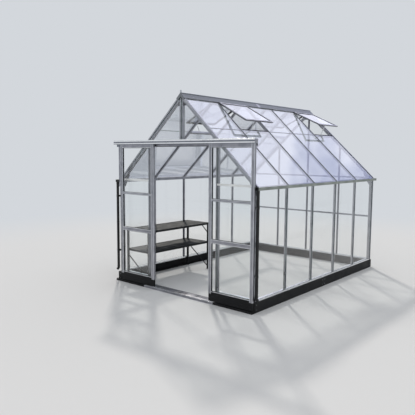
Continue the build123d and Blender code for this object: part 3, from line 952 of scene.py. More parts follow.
@dataclass
class GableGlazing(Fittings):
    """Seals, bar noses and pale joint strips of one gable."""

    gable: Gable
    seal: Seal = Seal()
    nose_start: float = 0.012
    nose_margin: float = 0.045
    upright_margin: float = 0.030
    strip_half: float = 0.0122
    strip_rise: float = 0.006
    strip_level: float = 0.012

    def __post_init__(self) -> None:
        """Find the uprights of the gable."""
        self.uprights = (0.0, self.house.jamb_x, -self.house.jamb_x)

    def build(self) -> None:
        """Make every piece of the gable."""
        self.seals()
        self.noses()
        self.strips()

    def start(self, name: str, coat: Coat) -> Piece:
        """Start a piece of this gable."""
        return Piece(f"{self.gable.word}_{name}", coat)

    def seals(self) -> None:
        """Seal the glass beside the uprights and under the rafters."""
        house, gable = self.house, self.gable
        piece = self.start("gable_seals", self.finishes.seal)
        half, low = house.rib_width / 2, house.glass
        drop = house.rib_width + self.seal.width
        for x in self.uprights:
            for way in (1, -1):
                beside_door = gable is Gable.FRONT and x * way <= 0
                start = house.track_top if beside_door else house.sill_top
                top = house.roof_level(abs(x + way * (half + self.seal.width)))
                length = top - drop / math.cos(house.pitch) - start
                self.seal.lay(piece, house.on_gable(gable, x, start, way=way), length, half, low)
        for side in Side:
            x = side.value * (house.face_x - half)
            place = house.on_gable(gable, x, house.sill_top, way=-side.value)
            self.seal.lay(piece, place, house.wall_top - house.sill_top, half, low)
            place = house.under_rafter(gable, side, drop, house.rib_width, 0.0)
            self.seal.lay(piece, place, house.slope - 2 * drop, 0.0, low)
        piece.done()

    def noses(self) -> None:
        """Round the noses of the ribs on the rafters, the uprights and the corners."""
        house, gable = self.house, self.gable
        # The noses' pale finish is a painted highlight
        piece = self.start("gable_bar_noses", self.finishes.bright)
        lift, radius = house.nose_lift, house.nose_radius
        for side in Side:
            for drop in (-house.rib_height + radius, house.rib_width - radius):
                foot = house.under_rafter(gable, side, self.nose_start, drop, lift)
                piece.bar(foot, house.slope - self.nose_margin, radius)
            x = side.value * (house.face_x - house.rib_width / 2)
            foot = house.on_gable(gable, x, house.base_top, lift)
            piece.bar(foot, house.beam_bottom - house.base_top, radius)
        for x in self.uprights:
            start = house.track_top if (x == 0.0 and gable is Gable.FRONT) else house.sill_top
            top = house.roof_level(x) - self.upright_margin / math.cos(house.pitch)
            piece.bar(house.on_gable(gable, x, start, lift), top - start, radius)
        piece.done()

    def strips(self) -> None:
        """Lay pale strips over the level joints of the glass, their white a painted glint."""
        house = self.house
        piece = self.start("gable_joint_strips", self.finishes.strip)
        edge = house.rib_width / 2 + self.seal.width
        spans = [(house.jamb_x + edge, house.face_x - house.rib_width - self.seal.width)]
        bottom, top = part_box(f"{self.gable.word}_cross_bars")
        levels = [(bottom.z + top.z) / 2]
        if self.gable is Gable.BACK:
            spans.append((edge, house.jamb_x - edge))
            levels = [bottom.z + self.strip_level, top.z - self.strip_level]
        low, high = house.glass + house.strip_lift, house.glass + self.strip_rise
        for side in Side:
            for z in levels:
                place = house.on_gable(self.gable, 0.0, z, way=side.value)
                for near, far in spans:
                    piece.slab((-self.strip_half, near, low), (self.strip_half, far, high), place, soft=0.0022)
        piece.done()


@dataclass
class BaseFittings(Fittings):
    """Corner covers, splice plates and screws of the steel base and the sills on it."""

    cover_reach: float = 0.070
    cover_margin: float = 0.004
    cover_screws: Span = (0.035, 0.090)
    cover_screw_share: float = 0.6
    gauge: float = 0.002
    splice_half: float = 0.045
    splice_margin: float = 0.012
    splice_screw_up: float = 0.018
    splice_screw_out: float = 0.028
    screw_spacing: float = 0.313
    sill_screw_inset: float = 0.005
    bolt_height: float = 0.005
    nut_height: float = 0.007
    bolt_up: float = 0.030
    bolt_down: float = 0.025
    soft: float = 0.0007

    def build(self) -> None:
        """Make every fitting of the base."""
        self.corner_covers()
        self.splices()
        self.sill_screws()
        self.wall_bolts()

    def corner_covers(self) -> None:
        """Fold covers round the four outer corners, with two screws on each face."""
        house, gauge, reach = self.house, self.gauge, self.cover_reach
        piece = Piece("base_corner_covers", self.finishes.base_coat)
        screws = Piece("base_corner_screws", self.finishes.zinc)
        low, top, share = self.cover_margin, house.base_top - self.cover_margin, self.cover_screw_share
        for side in Side:
            for gable in Gable:
                sx, sy = side.value, gable.value
                x, y = sx * house.base_x, house.base_front if gable is Gable.FRONT else house.base_rear
                out_x, out_y = x + sx * gauge, y + sy * gauge
                piece.slab((x, out_y, low), (out_x, y - sy * reach, top), soft=self.soft)
                piece.slab((x - sx * reach, y, low), (out_x, out_y, top), soft=self.soft)
                for z in self.cover_screws:
                    screws.screw(facing((out_x, y - sy * reach * share, z), (sx, 0, 0), UP), *Piece.SMALL_SCREW)
                    screws.screw(facing((x - sx * reach * share, out_y, z), (0, sy, 0), UP), *Piece.SMALL_SCREW)
        piece.done()
        screws.done()

    def splices(self) -> None:
        """Plate the joints of the base lengths, in the middle of the sides and the back."""
        house = self.house
        piece = Piece("base_splice_plates", self.finishes.base_coat)
        screws = Piece("base_splice_screws", self.finishes.zinc)
        places = [facing((s.value * house.base_x, house.middle_y, 0), (s.value, 0, 0), UP) for s in Side]
        places.append(facing((0, house.base_rear, 0), BACK, UP))
        low, high = self.splice_margin, house.base_top - self.splice_margin
        for place in places:
            piece.slab((low, -self.splice_half, 0), (high, self.splice_half, self.gauge), place, self.soft)
            for up in (low + self.splice_screw_up, high - self.splice_screw_up):
                for way in (-1, 1):
                    screws.screw(place @ Matrix.Translation((up, way * self.splice_screw_out, self.gauge)))
        piece.done()
        screws.done()

    def sill_screws(self) -> None:
        """Drive screws through the outer lip of the sills."""
        house = self.house
        piece = Piece("sill_screws", self.finishes.zinc)
        count = int(house.length / self.screw_spacing)
        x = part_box("sills")[1].x - self.sill_screw_inset
        for k in range(count):
            y = house.front_y + (k + 0.5) * house.length / count
            for side in Side:
                piece.screw(facing((side.value * x, y, house.sill_top), UP, RIGHT), radius=0.0042)
        piece.done()

    def wall_bolts(self) -> None:
        """Bolt the feet and heads of the corner posts and the wall bars, on their inner sides."""
        house = self.house
        piece = Piece("wall_bolts", self.finishes.zinc)
        depth = house.face_x - house.flange - house.web_depth / 2
        for side in Side:
            inward = (-side.value, 0, 0)
            for z in (house.sill_top + self.bolt_up, house.beam_bottom - self.bolt_down):
                for gable in Gable:
                    spot = (side.value * house.post_inner, house.end_y(gable, house.post / 2), z)
                    piece.bolt(facing(spot, inward, UP), height=self.bolt_height)
                for y in house.bar_lines:
                    for way, height in ((-1, self.bolt_height), (1, self.nut_height)):
                        spot = (side.value * depth, y + way * house.web / 2, z)
                        piece.bolt(facing(spot, (0, way, 0), UP), height=height)
        piece.done()


@dataclass
class FrameFittings(Fittings):
    """Gusset plates, cleats and bolts that hold the gables and the roof bars together."""

    plate_gauge: float = 0.003
    bolt_height: float = 0.005
    cleat_length: float = 0.040
    cleat_gauge: float = 0.003
    cleat_from_eaves: float = 0.020
    cleat_from_ridge: float = 0.045
    cleat_margins: Span = (0.003, 0.001)
    screw_inset: float = 0.012
    # The apex plate and its bolts on the right half, by X and by height from the apex
    apex_corners: tuple[Span, ...] = ((0.100, -0.132), (0.032, -0.064))
    apex_middle_spots: tuple[Span, ...] = ((0.0, -0.086), (0.0, -0.116))
    apex_side_spots: tuple[Span, ...] = ((0.042, -0.084), (0.074, -0.118))
    # The eaves plate and its bolts, from the inner edge of the post: its foot hangs from the underside
    # of the beam, with a gap, and its arm rises from the beam's top
    beam_gap: float = 0.003
    foot_corners: tuple[Span, ...] = ((-0.003, 0.0), (0.028, 0.0), (0.028, -0.058), (-0.012, -0.058))
    foot_spots: tuple[Span, ...] = ((0.014, -0.016), (0.014, -0.042))
    arm_corners: tuple[Span, ...] = ((-0.105, 0.066), (-0.072, 0.080), (-0.003, 0.010))
    arm_spots: tuple[Span, ...] = ((-0.046, 0.044), (-0.080, 0.066))

    def build(self) -> None:
        """Make the plates, cleats and screws."""
        self.apex_plates()
        self.eaves_plates()
        self.roof_cleats()
        self.cross_bar_screws()

    def plate(self, piece: Piece, bolts: Piece, outline: list[Point], spots: list[Point]) -> None:
        """Add one plate and its bolts on the inner face of both gables' members.

        Args:
            piece: The piece of the plates.
            bolts: The piece of the bolts.
            outline: Corners of the plate, by X and height.
            spots: Middles of the bolts, by X and height.
        """
        for gable in Gable:
            inward = -gable.value
            origin = (0, self.house.end_y(gable, self.house.post), 0)
            place = facing(origin, (0, inward, 0), RIGHT, UP)
            piece.prism(outline, self.plate_gauge, place, soft=0.0006)
            for x, z in spots:
                spot = (x, origin[1] + inward * self.plate_gauge, z)
                bolts.bolt(facing(spot, (0, inward, 0), RIGHT), height=self.bolt_height)

    def apex_plates(self) -> None:
        """Join the rafters under the ridge beam."""
        piece = Piece("apex_gussets", self.finishes.bars[Run.CROSSWISE])
        bolts = Piece("apex_bolts", self.finishes.zinc)
        outline = [(-x, z) for x, z in reversed(self.apex_corners)] + list(self.apex_corners)
        spots = [*self.apex_middle_spots, *self.apex_side_spots, *((-x, z) for x, z in self.apex_side_spots)]
        outline, spots = ([(x, self.house.apex + z) for x, z in points] for points in (outline, spots))
        self.plate(piece, bolts, outline, spots)
        piece.done()
        bolts.done()

    def eaves_plates(self) -> None:
        """Join the head of each corner post to the foot of its rafter, round the eaves beam."""
        house = self.house
        piece = Piece("eaves_gussets", self.finishes.bars[Run.CROSSWISE])
        bolts = Piece("eaves_bolts", self.finishes.zinc)
        under, level = house.beam_bottom - self.beam_gap, house.wall_top
        corners = [(x, under + z) for x, z in self.foot_corners] + [(x, level + z) for x, z in self.arm_corners]
        spots = [(x, under + z) for x, z in self.foot_spots] + [(x, level + z) for x, z in self.arm_spots]
        for way in (1, -1):
            outline, places = ([(way * (house.post_inner + x), z) for x, z in points] for points in (corners, spots))
            self.plate(piece, bolts, outline, places)
        piece.done()
        bolts.done()

    def roof_cleats(self) -> None:
        """Angle cleats at the top and foot of every roof bar, on both sides of its web."""
        house = self.house
        piece = Piece("roof_cleats", self.finishes.bars[Run.UPRIGHT])
        bolts = Piece("roof_bolts", self.finishes.zinc)
        low = -house.flange - house.web_depth + self.cleat_margins[0]
        high = -house.flange - self.cleat_margins[1]
        near, far, half = house.web / 2, house.web / 2 + self.cleat_gauge, self.cleat_length / 2
        ridge = house.slope - house.ridge_width / 2 / math.cos(house.pitch)
        ends = (house.post + self.cleat_from_eaves, ridge - self.cleat_from_ridge)
        for side in Side:
            for y in house.bar_lines:
                for up in ends:
                    for way in (1, -1):
                        place = house.on_slope(side, y, up, way=way)
                        piece.slab((-half, near, low), (half, far, high), place, soft=0.0005)
                        spot = facing((0, far, (low + high) / 2), BACK, RIGHT)
                        bolts.bolt(place @ spot, height=self.bolt_height)
        piece.done()
        bolts.done()

    def cross_bar_screws(self) -> None:
        """Screw the ends of the short bars of both gables, on their inner faces."""
        house = self.house
        piece = Piece("cross_bar_screws", self.finishes.zinc)
        inset, edge = self.screw_inset, house.bar_width / 2 + self.screw_inset
        low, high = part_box("front_cross_bars")
        back_low, back_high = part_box("back_cross_bars")
        front_spots = (house.jamb_x + house.post / 2 + inset, house.post_inner - inset)
        back_spots = (edge, house.jamb_x - edge, house.jamb_x + edge, front_spots[1])
        rows = [(front_spots, high.y, 1, (low.z + high.z) / 2)]
        rows += [(back_spots, back_low.y, -1, z) for z in (back_low.z + inset, back_high.z - inset)]
        for spots, y, out, z in rows:
            for x in spots:
                for way in (1, -1):
                    piece.screw(facing((way * x, y, z), (0, out, 0), RIGHT))
        piece.done()


@dataclass
class RidgeFittings(Fittings):
    """End plates, lap joint, rivets and seals of the ridge cap."""

    plate_gauge: float = 0.002
    plate_drop: float = 0.030
    lap_half: float = 0.032
    lap_gauge: float = 0.0012
    lap_gap: float = 0.006
    rivet_radius: float = 0.0045
    rivet_rise: float = 0.0018
    rivet_inset: float = 0.018
    rivets_per_bay: int = 2
    seal_reach: Span = (0.001, 0.007)
    seal_inset: float = 0.003

    def build(self) -> None:
        """Make the trim of the ridge."""
        self.end_plates()
        self.lap_joint()
        self.rivets()
        self.seals()

    def end_plates(self) -> None:
        """Close the cap at both gables with chevrons tucked under its skirts."""
        house = self.house
        piece = Piece("ridge_end_plates", self.finishes.ridge)
        lift, low = house.rib_height, house.rib_height - self.plate_drop
        levels = [(0, house.apex + up / math.cos(house.pitch)) for up in (lift, low)]
        edges = [house.down_slope(house.cap_reach, up) for up in (lift, low)]
        right = [levels[0], edges[0], edges[1], levels[1]]
        left = [(-x, z) for x, z in reversed(right)]
        for gable in Gable:
            y = house.end_y(gable, self.plate_gauge - house.overhang)
            place = facing((0, y, 0), (0, gable.value, 0), RIGHT, UP)
            for outline in (right, left):
                piece.prism(outline, self.plate_gauge, place)
        piece.done()

    def lap_joint(self) -> None:
        """Sleeve the joint between the two lengths of the cap."""
        house = self.house
        piece = Piece("ridge_lap_joint", self.finishes.bars[Run.LENGTHWISE])
        for side in Side:
            place = house.on_slope(side, house.middle_y, 0.0, house.rib_height + house.cap_thickness)
            end = (house.slope - self.lap_gap, self.lap_half, self.lap_gauge)
            piece.slab((house.cap_up, -self.lap_half, 0), end, place, soft=0.0004)
        piece.done()

    def rivets(self) -> None:
        """Rivet both skirts of the cap."""
        house = self.house
        piece = Piece("ridge_rivets", self.finishes.zinc)
        count = house.bays * self.rivets_per_bay
        up, lift = house.cap_up + self.rivet_inset, house.rib_height + house.cap_thickness
        for k in range(count):
            y = house.front_y + (k + 0.5) * house.length / count
            for side in Side:
                place = house.on_slope(side, y, up, lift)
                top = place @ Vector((0, 0, self.rivet_rise))
                piece.rod(place.translation, top, self.rivet_radius, sides=10, soft=0.0008)
        piece.done()

    def seals(self) -> None:
        """Seal the upper panes under the skirts of the cap."""
        house = self.house
        piece = Piece("ridge_seals", self.finishes.seal)
        start, end = self.seal_reach
        for side in Side:
            for number, (near, far) in enumerate(house.pane_spans()):
                if number not in house.vents:
                    place = house.on_slope(side, near, house.cap_up)
                    high = (end, far - near - self.seal_inset, house.rib_height)
                    piece.slab((start, self.seal_inset, house.glass), high, place, soft=0.001)
        piece.done()


@dataclass(frozen=True)
class Vent:
    """Where an open vent hangs: the hinge has X down the vent, Y to the back and Z out of it."""

    side: Side
    middle: float
    bay_half: float
    hinge: Matrix


@dataclass
class VentFittings(Fittings):
    """Seals, glass gaskets, knuckles, screws and pins of the open roof vents."""

    length: float = 0.500
    rail: float = 0.026
    thickness: float = 0.014
    side_gap: float = 0.002
    hinge_radius: float = 0.006
    hinge_gap: float = 0.0003
    rim_start: float = 0.012
    # Width of the black rim seals, wide enough to cover most of the frame's underside as a painted shade
    rim_width: float = 0.024
    rim_depth: float = 0.005
    gasket_width: float = 0.004
    gasket_rise: float = 0.0030
    opener_offset: float = 0.100
    opener_reach: float = 0.011
    opener_gap: float = 0.016
    eye_drop: float = 0.004
    foot_up: float = 0.009
    foot_lift: float = 0.004
    pin_radius: float = 0.003
    knuckle_length: float = 0.034
    knuckle_gauge: float = 0.0016
    knuckle_shares: tuple[float, ...] = (-0.85, -0.3, 0.3, 0.85)
    screw_step: float = 0.012
    sill_seal_up: float = 0.013
    sill_seal_inset: float = 0.014
    sill_seal_gap: float = 0.012
    sill_seal_width: float = 0.008
    sill_seal_rise: float = 0.004

    def __post_init__(self) -> None:
        """Find where every vent hinges."""
        house = self.house
        reach = house.cap_reach + self.hinge_radius + self.hinge_gap
        x, z = house.down_slope(reach, house.rib_height + house.cap_thickness / 2)
        self.vents = []
        for bay, angle in house.vents.items():
            low, high = house.pane_spans()[bay]
            pitch = house.pitch - math.radians(angle)
            c, s = math.cos(pitch), math.sin(pitch)
            for side in Side:
                way, middle = side.value, (low + high) / 2
                hinge = facing((way * x, middle, z), (way * s, 0, c), (way * c, 0, -s), BACK)
                self.vents.append(Vent(side, middle, (high - low) / 2, hinge))

    def build(self) -> None:
        """Make the fittings of every vent."""
        self.seals()
        self.gaskets()
        self.knuckles()
        self.corner_screws()
        self.opener_pins()

    def seals(self) -> None:
        """Seal the underside of each frame, apart from its hinge and its opener, and the top of the sill; the wide
        black under the frames is partly a painted shade.
        """
        house = self.house
        piece = Piece("vent_rim_seals", self.finishes.rubber)
        top, width, foot, gap = -self.thickness / 2, self.rim_width, -self.opener_offset, self.opener_gap
        low = top - self.rim_depth
        for vent in self.vents:
            half = vent.bay_half - self.side_gap
            for way in (1, -1):
                near = (self.rim_start, way * (half - width), low)
                piece.slab(near, (self.length, way * half, top), vent.hinge, soft=0.001)
            for near, far in ((width - half, foot - gap), (foot + gap, half - width)):
                piece.slab((self.length - width, near, low), (self.length, far, top), vent.hinge, soft=0.001)
            sill = house.on_slope(vent.side, vent.middle, house.joint_up + self.sill_seal_up)
            half = vent.bay_half - self.sill_seal_inset
            for near, far in ((-half, foot - self.sill_seal_gap), (foot + self.sill_seal_gap, half)):
                piece.slab((0, near, 0), (self.sill_seal_width, far, self.sill_seal_rise), sill, soft=0.001)
        piece.done()

    def gaskets(self) -> None:
        """Run a black gasket round the glass of each vent, on both of its faces."""
        piece = Piece("vent_glass_gaskets", self.finishes.rubber)
        near, far, w = self.rail, self.length - self.rail, self.gasket_width
        glass = self.house.glass / 2
        for vent in self.vents:
            side = vent.bay_half - self.side_gap - self.rail
            for low, high in ((glass, glass + self.gasket_rise), (-glass - self.gasket_rise, -glass)):
                for way in (1, -1):
                    piece.slab((near, way * (side - w), low), (far, way * side, high), vent.hinge, soft=0.0007)
                for start in (near, far - w):
                    piece.slab((start, w - side, low), (start + w, side - w, high), vent.hinge, soft=0.0007)
        piece.done()

    def knuckles(self) -> None:
        """Sleeve each hinge tube with knuckles."""
        # The knuckles' pale finish is a painted highlight
        piece = Piece("vent_hinge_knuckles", self.finishes.bright)
        radius, half = self.hinge_radius + self.knuckle_gauge, self.knuckle_length / 2
        for vent in self.vents:
            for share in self.knuckle_shares:
                y = share * (vent.bay_half - self.side_gap)
                ends = [vent.hinge @ Vector((0, y + way * half, 0)) for way in (1, -1)]
                piece.rod(*ends, radius, sides=16, soft=0.0006)
        piece.done()

    def corner_screws(self) -> None:
        """Screw each corner of the frames twice, on top."""
        piece = Piece("vent_corner_screws", self.finishes.zinc)
        top, inset, step = self.thickness / 2, self.rail / 2, self.rail + self.screw_step
        for vent in self.vents:
            for way in (1, -1):
                y = way * (vent.bay_half - self.side_gap - inset)
                for along in (inset, step, self.length - inset, self.length - step):
                    piece.screw(vent.hinge @ Matrix.Translation((along, y, top)), *Piece.SMALL_SCREW)
        piece.done()

    def opener_pins(self) -> None:
        """Pin both eyes of each opener arm."""
        house = self.house
        piece = Piece("vent_opener_pins", self.finishes.zinc)
        down, under = self.length - self.rail / 2, -self.thickness / 2 - self.eye_drop
        for vent in self.vents:
            upper = vent.hinge @ Matrix.Translation((down, -self.opener_offset, under))
            y = vent.middle - self.opener_offset
            lower = house.on_slope(vent.side, y, house.joint_up + self.foot_up, self.foot_lift)
            for eye in (upper, lower):
                ends = [eye @ Vector((0, way * self.opener_reach, 0)) for way in (1, -1)]
                piece.rod(*ends, self.pin_radius, soft=0.0006)
        piece.done()


@dataclass
class RainFittings(Fittings):
    """Rolled lip, straps and end caps of one gutter, and collars and clips of its downpipe."""

    side: Side
    lip_radius: float = 0.0035
    strap_width: float = 0.014
    strap_gauge: float = 0.002
    strap_inset: float = 0.05
    strap_drop: float = 0.006
    cap_gauge: float = 0.003
    cap_proud: float = 0.001
    cap_rise: float = 0.002
    cap_hem: float = 0.010
    pipe_radius: float = 0.018
    collar_radius: float = 0.0192
    collar_height: float = 0.030
    clip_levels: Span = (0.42, 1.18)
    clip_height: float = 0.022
    clip_gauge: float = 0.001
    seam_level: float = 0.80
    shoe_collar: Span = (0.186, 0.200)

    def __post_init__(self) -> None:
        """Read the box of the gutter."""
        self.low, self.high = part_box(f"gutter_{self.side.word}")
        self.outer = self.high.x if self.side is Side.RIGHT else self.low.x

    def build(self) -> None:
        """Make the fittings of the gutter and of its pipe."""
        self.gutter_trim()
        self.end_caps()
        self.collars()

    def start(self, name: str, coat: Coat) -> Piece:
        """Start a piece of this side."""
        return Piece(f"{name}_{self.side.word}", coat)

    def gutter_trim(self) -> None:
        """Roll the lip of the gutter and strap it to the eaves."""
        house = self.house
        piece = self.start("gutter_trim", self.finishes.gutter)
        x, level = self.outer - self.side.value * self.lip_radius, self.high.z
        piece.rod((x, self.low.y, level), (x, self.high.y, level), self.lip_radius, sides=10)
        inner, half = self.side.value * house.face_x, self.strap_width / 2
        bottom = level - self.strap_drop
        for y in (house.front_y + self.strap_inset, *house.bar_lines, house.back_y - self.strap_inset):
            piece.slab((inner, y - half, bottom), (self.outer, y + half, bottom + self.strap_gauge), soft=0.0005)
        piece.done()

    def end_caps(self) -> None:
        """Cap both ends of the gutter."""
        piece = self.start("gutter_end_caps", self.finishes.pipe_plastic)
        way_out, bottom = self.side.value, self.low.z
        inner, outer = way_out * self.house.face_x, self.outer + way_out * self.cap_proud
        for y, way in ((self.low.y, -1), (self.high.y, 1)):
            start = (inner, y + way * self.cap_gauge, bottom - self.cap_proud)
            piece.slab(start, (outer, y - way * self.cap_hem, bottom), soft=0.0004)
            piece.slab(start, (outer, y, self.high.z + self.cap_rise), soft=0.0008)
        piece.done()

    def collars(self) -> None:
        """Sleeve the pipe at its joints and hold it with two clips."""
        x, y = self.outer - self.side.value * self.pipe_radius, self.low.y + self.pipe_radius
        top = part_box(f"downpipe_{self.side.word}")[1].z
        piece = self.start("pipe_collars", self.finishes.pipe_plastic)
        screws = self.start("pipe_clip_screws", self.finishes.zinc)
        spans = [(top - self.collar_height, top), (self.seam_level, self.seam_level + self.collar_height)]
        for low, high in (*spans, self.shoe_collar):
            piece.rod((x, y, low), (x, y, high), self.collar_radius, sides=24, soft=0.0008)
        radius, half = self.collar_radius + self.clip_gauge, self.clip_height / 2
        for level in self.clip_levels:
            piece.rod((x, y, level - half), (x, y, level + half), radius, sides=24, soft=0.0008)
            screws.screw(facing((x, y - radius, level), FRONT, UP), radius=0.004)
        piece.done()
        screws.done()


@dataclass
class TrackFittings(Fittings):
    """Bright lip, end caps, buffers, brush and bolts of the door track, and the threshold's ribs."""

    wall: float = 0.003
    bead_radius: float = 0.0045
    bead_gap: float = 0.0002
    cap_gauge: float = 0.003
    cap_height: float = 0.049
    cap_inset: float = 0.002
    cap_drop: float = 0.0005
    buffer_length: float = 0.022
    buffer_depth: float = 0.010
    buffer_height: float = 0.020
    buffer_drop: float = 0.047
    buffer_start: float = 1.082
    brush_depth: float = 0.006
    brush_levels: Span = (0.0005, 0.007)
    holder_levels: Span = (0.0075, 0.029)
    screw_spacing: float = 0.290
    screw_margin: float = 0.06
    screw_level: float = 0.013
    strut_inset: float = 0.015
    strut_levels: Span = (0.020, 0.034)
    rib_width: float = 0.0025
    rib_rise: float = 0.0012
    rib_spacing: float = 0.006
    rib_margin: float = 0.004
    # Where each row of ribs starts, from the gable's face, and how many it has
    rib_rows: tuple[tuple[float, int], ...] = ((-0.034, 5), (0.004, 6))
    nose_radius: float = 0.003
    nose_inset: float = 0.001

    def __post_init__(self) -> None:
        """Read the box of the track."""
        self.low, self.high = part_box("door_track")

    def build(self) -> None:
        """Make the fittings of the track and of the threshold."""
        self.lip()
        self.end_caps()
        self.buffers()
        self.brush()
        self.screws()
        self.threshold()

    def lip(self) -> None:
        """Round the bright lip along the top of the track's front."""
        # The lip's pale finish is a painted highlight
        piece = Piece("track_lip", self.finishes.bright)
        y, z = self.low.y + self.bead_radius + self.bead_gap, self.high.z
        piece.rod((self.low.x, y, z), (self.high.x, y, z), self.bead_radius, sides=16)
        piece.done()

    def end_caps(self) -> None:
        """Close both ends of the track."""
        piece = Piece("track_end_caps", self.finishes.bars[Run.UPRIGHT])
        for way, x in ((-1, self.low.x), (1, self.high.x)):
            near = (x, self.low.y + self.cap_inset, self.high.z - self.cap_height)
            far = (x + way * self.cap_gauge, self.high.y, self.high.z - self.cap_drop)
            piece.slab(near, far, soft=0.001)
        piece.done()

    def buffers(self) -> None:
        """Stop the rollers past both ends of their way and in the middle."""
        piece = Piece("track_buffers", self.finishes.rubber)
        floor, back, length = self.high.z - self.buffer_drop, self.high.y - self.wall, self.buffer_length
        for x in (self.buffer_start, -self.buffer_start - length, -length / 2):
            far = (x + length, back, floor + self.buffer_height)
            piece.slab((x, back - self.buffer_depth, floor), far, soft=0.0015)
        piece.done()

    def brush(self) -> None:
        """Hold brush pile on the fascia between the jambs, against the top rails of the leaves: its black is also a
        painted shade under the track.
        """
        face, reach = self.high.y - self.wall, self.house.jamb_x + self.house.post / 2
        front, level = face - self.brush_depth, self.low.z
        holder = ("track_brush_holder", self.finishes.bars[Run.CROSSWISE], self.holder_levels)
        for name, coat, (low, high) in (holder, ("track_brush", self.finishes.rubber, self.brush_levels)):
            piece = Piece(name, coat)
            piece.slab((-reach, front, level + low), (reach, face, level + high), soft=0.001)
            piece.done()

    def screws(self) -> None:
        """Screw the brush on, and bolt the feet of the struts."""
        piece = Piece("track_screws", self.finishes.zinc)
        half, y = self.house.jamb_x - self.screw_margin, self.high.y - self.wall - self.brush_depth
        count = int(2 * self.house.jamb_x / self.screw_spacing)
        for k in range(count + 1):
            spot = (2 * half * k / count - half, y, self.low.z + self.screw_level)
            piece.screw(facing(spot, FRONT, UP), height=0.0022)
        low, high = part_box("track_struts")
        for way in (1, -1):
            for up in self.strut_levels:
                spot = (way * (high.x - self.strut_inset), self.high.y, low.z + up)
                piece.bolt(facing(spot, FRONT, UP), across=0.008)
        piece.done()

    def threshold(self) -> None:
        """Rib the threshold between the jambs for grip, and round its bright nose."""
        low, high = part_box("door_threshold")
        reach = self.house.jamb_x - self.house.post / 2 - self.rib_margin
        ribs = Piece("threshold_ribs", self.finishes.bars[Run.CROSSWISE])
        for start, count in self.rib_rows:
            for k in range(count):
                y = self.house.front_y + start + k * self.rib_spacing
                ribs.slab((-reach, y, high.z), (reach, y + self.rib_width, high.z + self.rib_rise), soft=0.0004)
        ribs.done()
        # The nose's pale finish is a painted highlight
        nose = Piece("threshold_nose", self.finishes.bright)
        y, z, inset = low.y + self.nose_radius, high.z - self.nose_inset, self.nose_inset
        nose.rod((low.x + inset, y, z), (high.x - inset, y, z), self.nose_radius)
        nose.done()


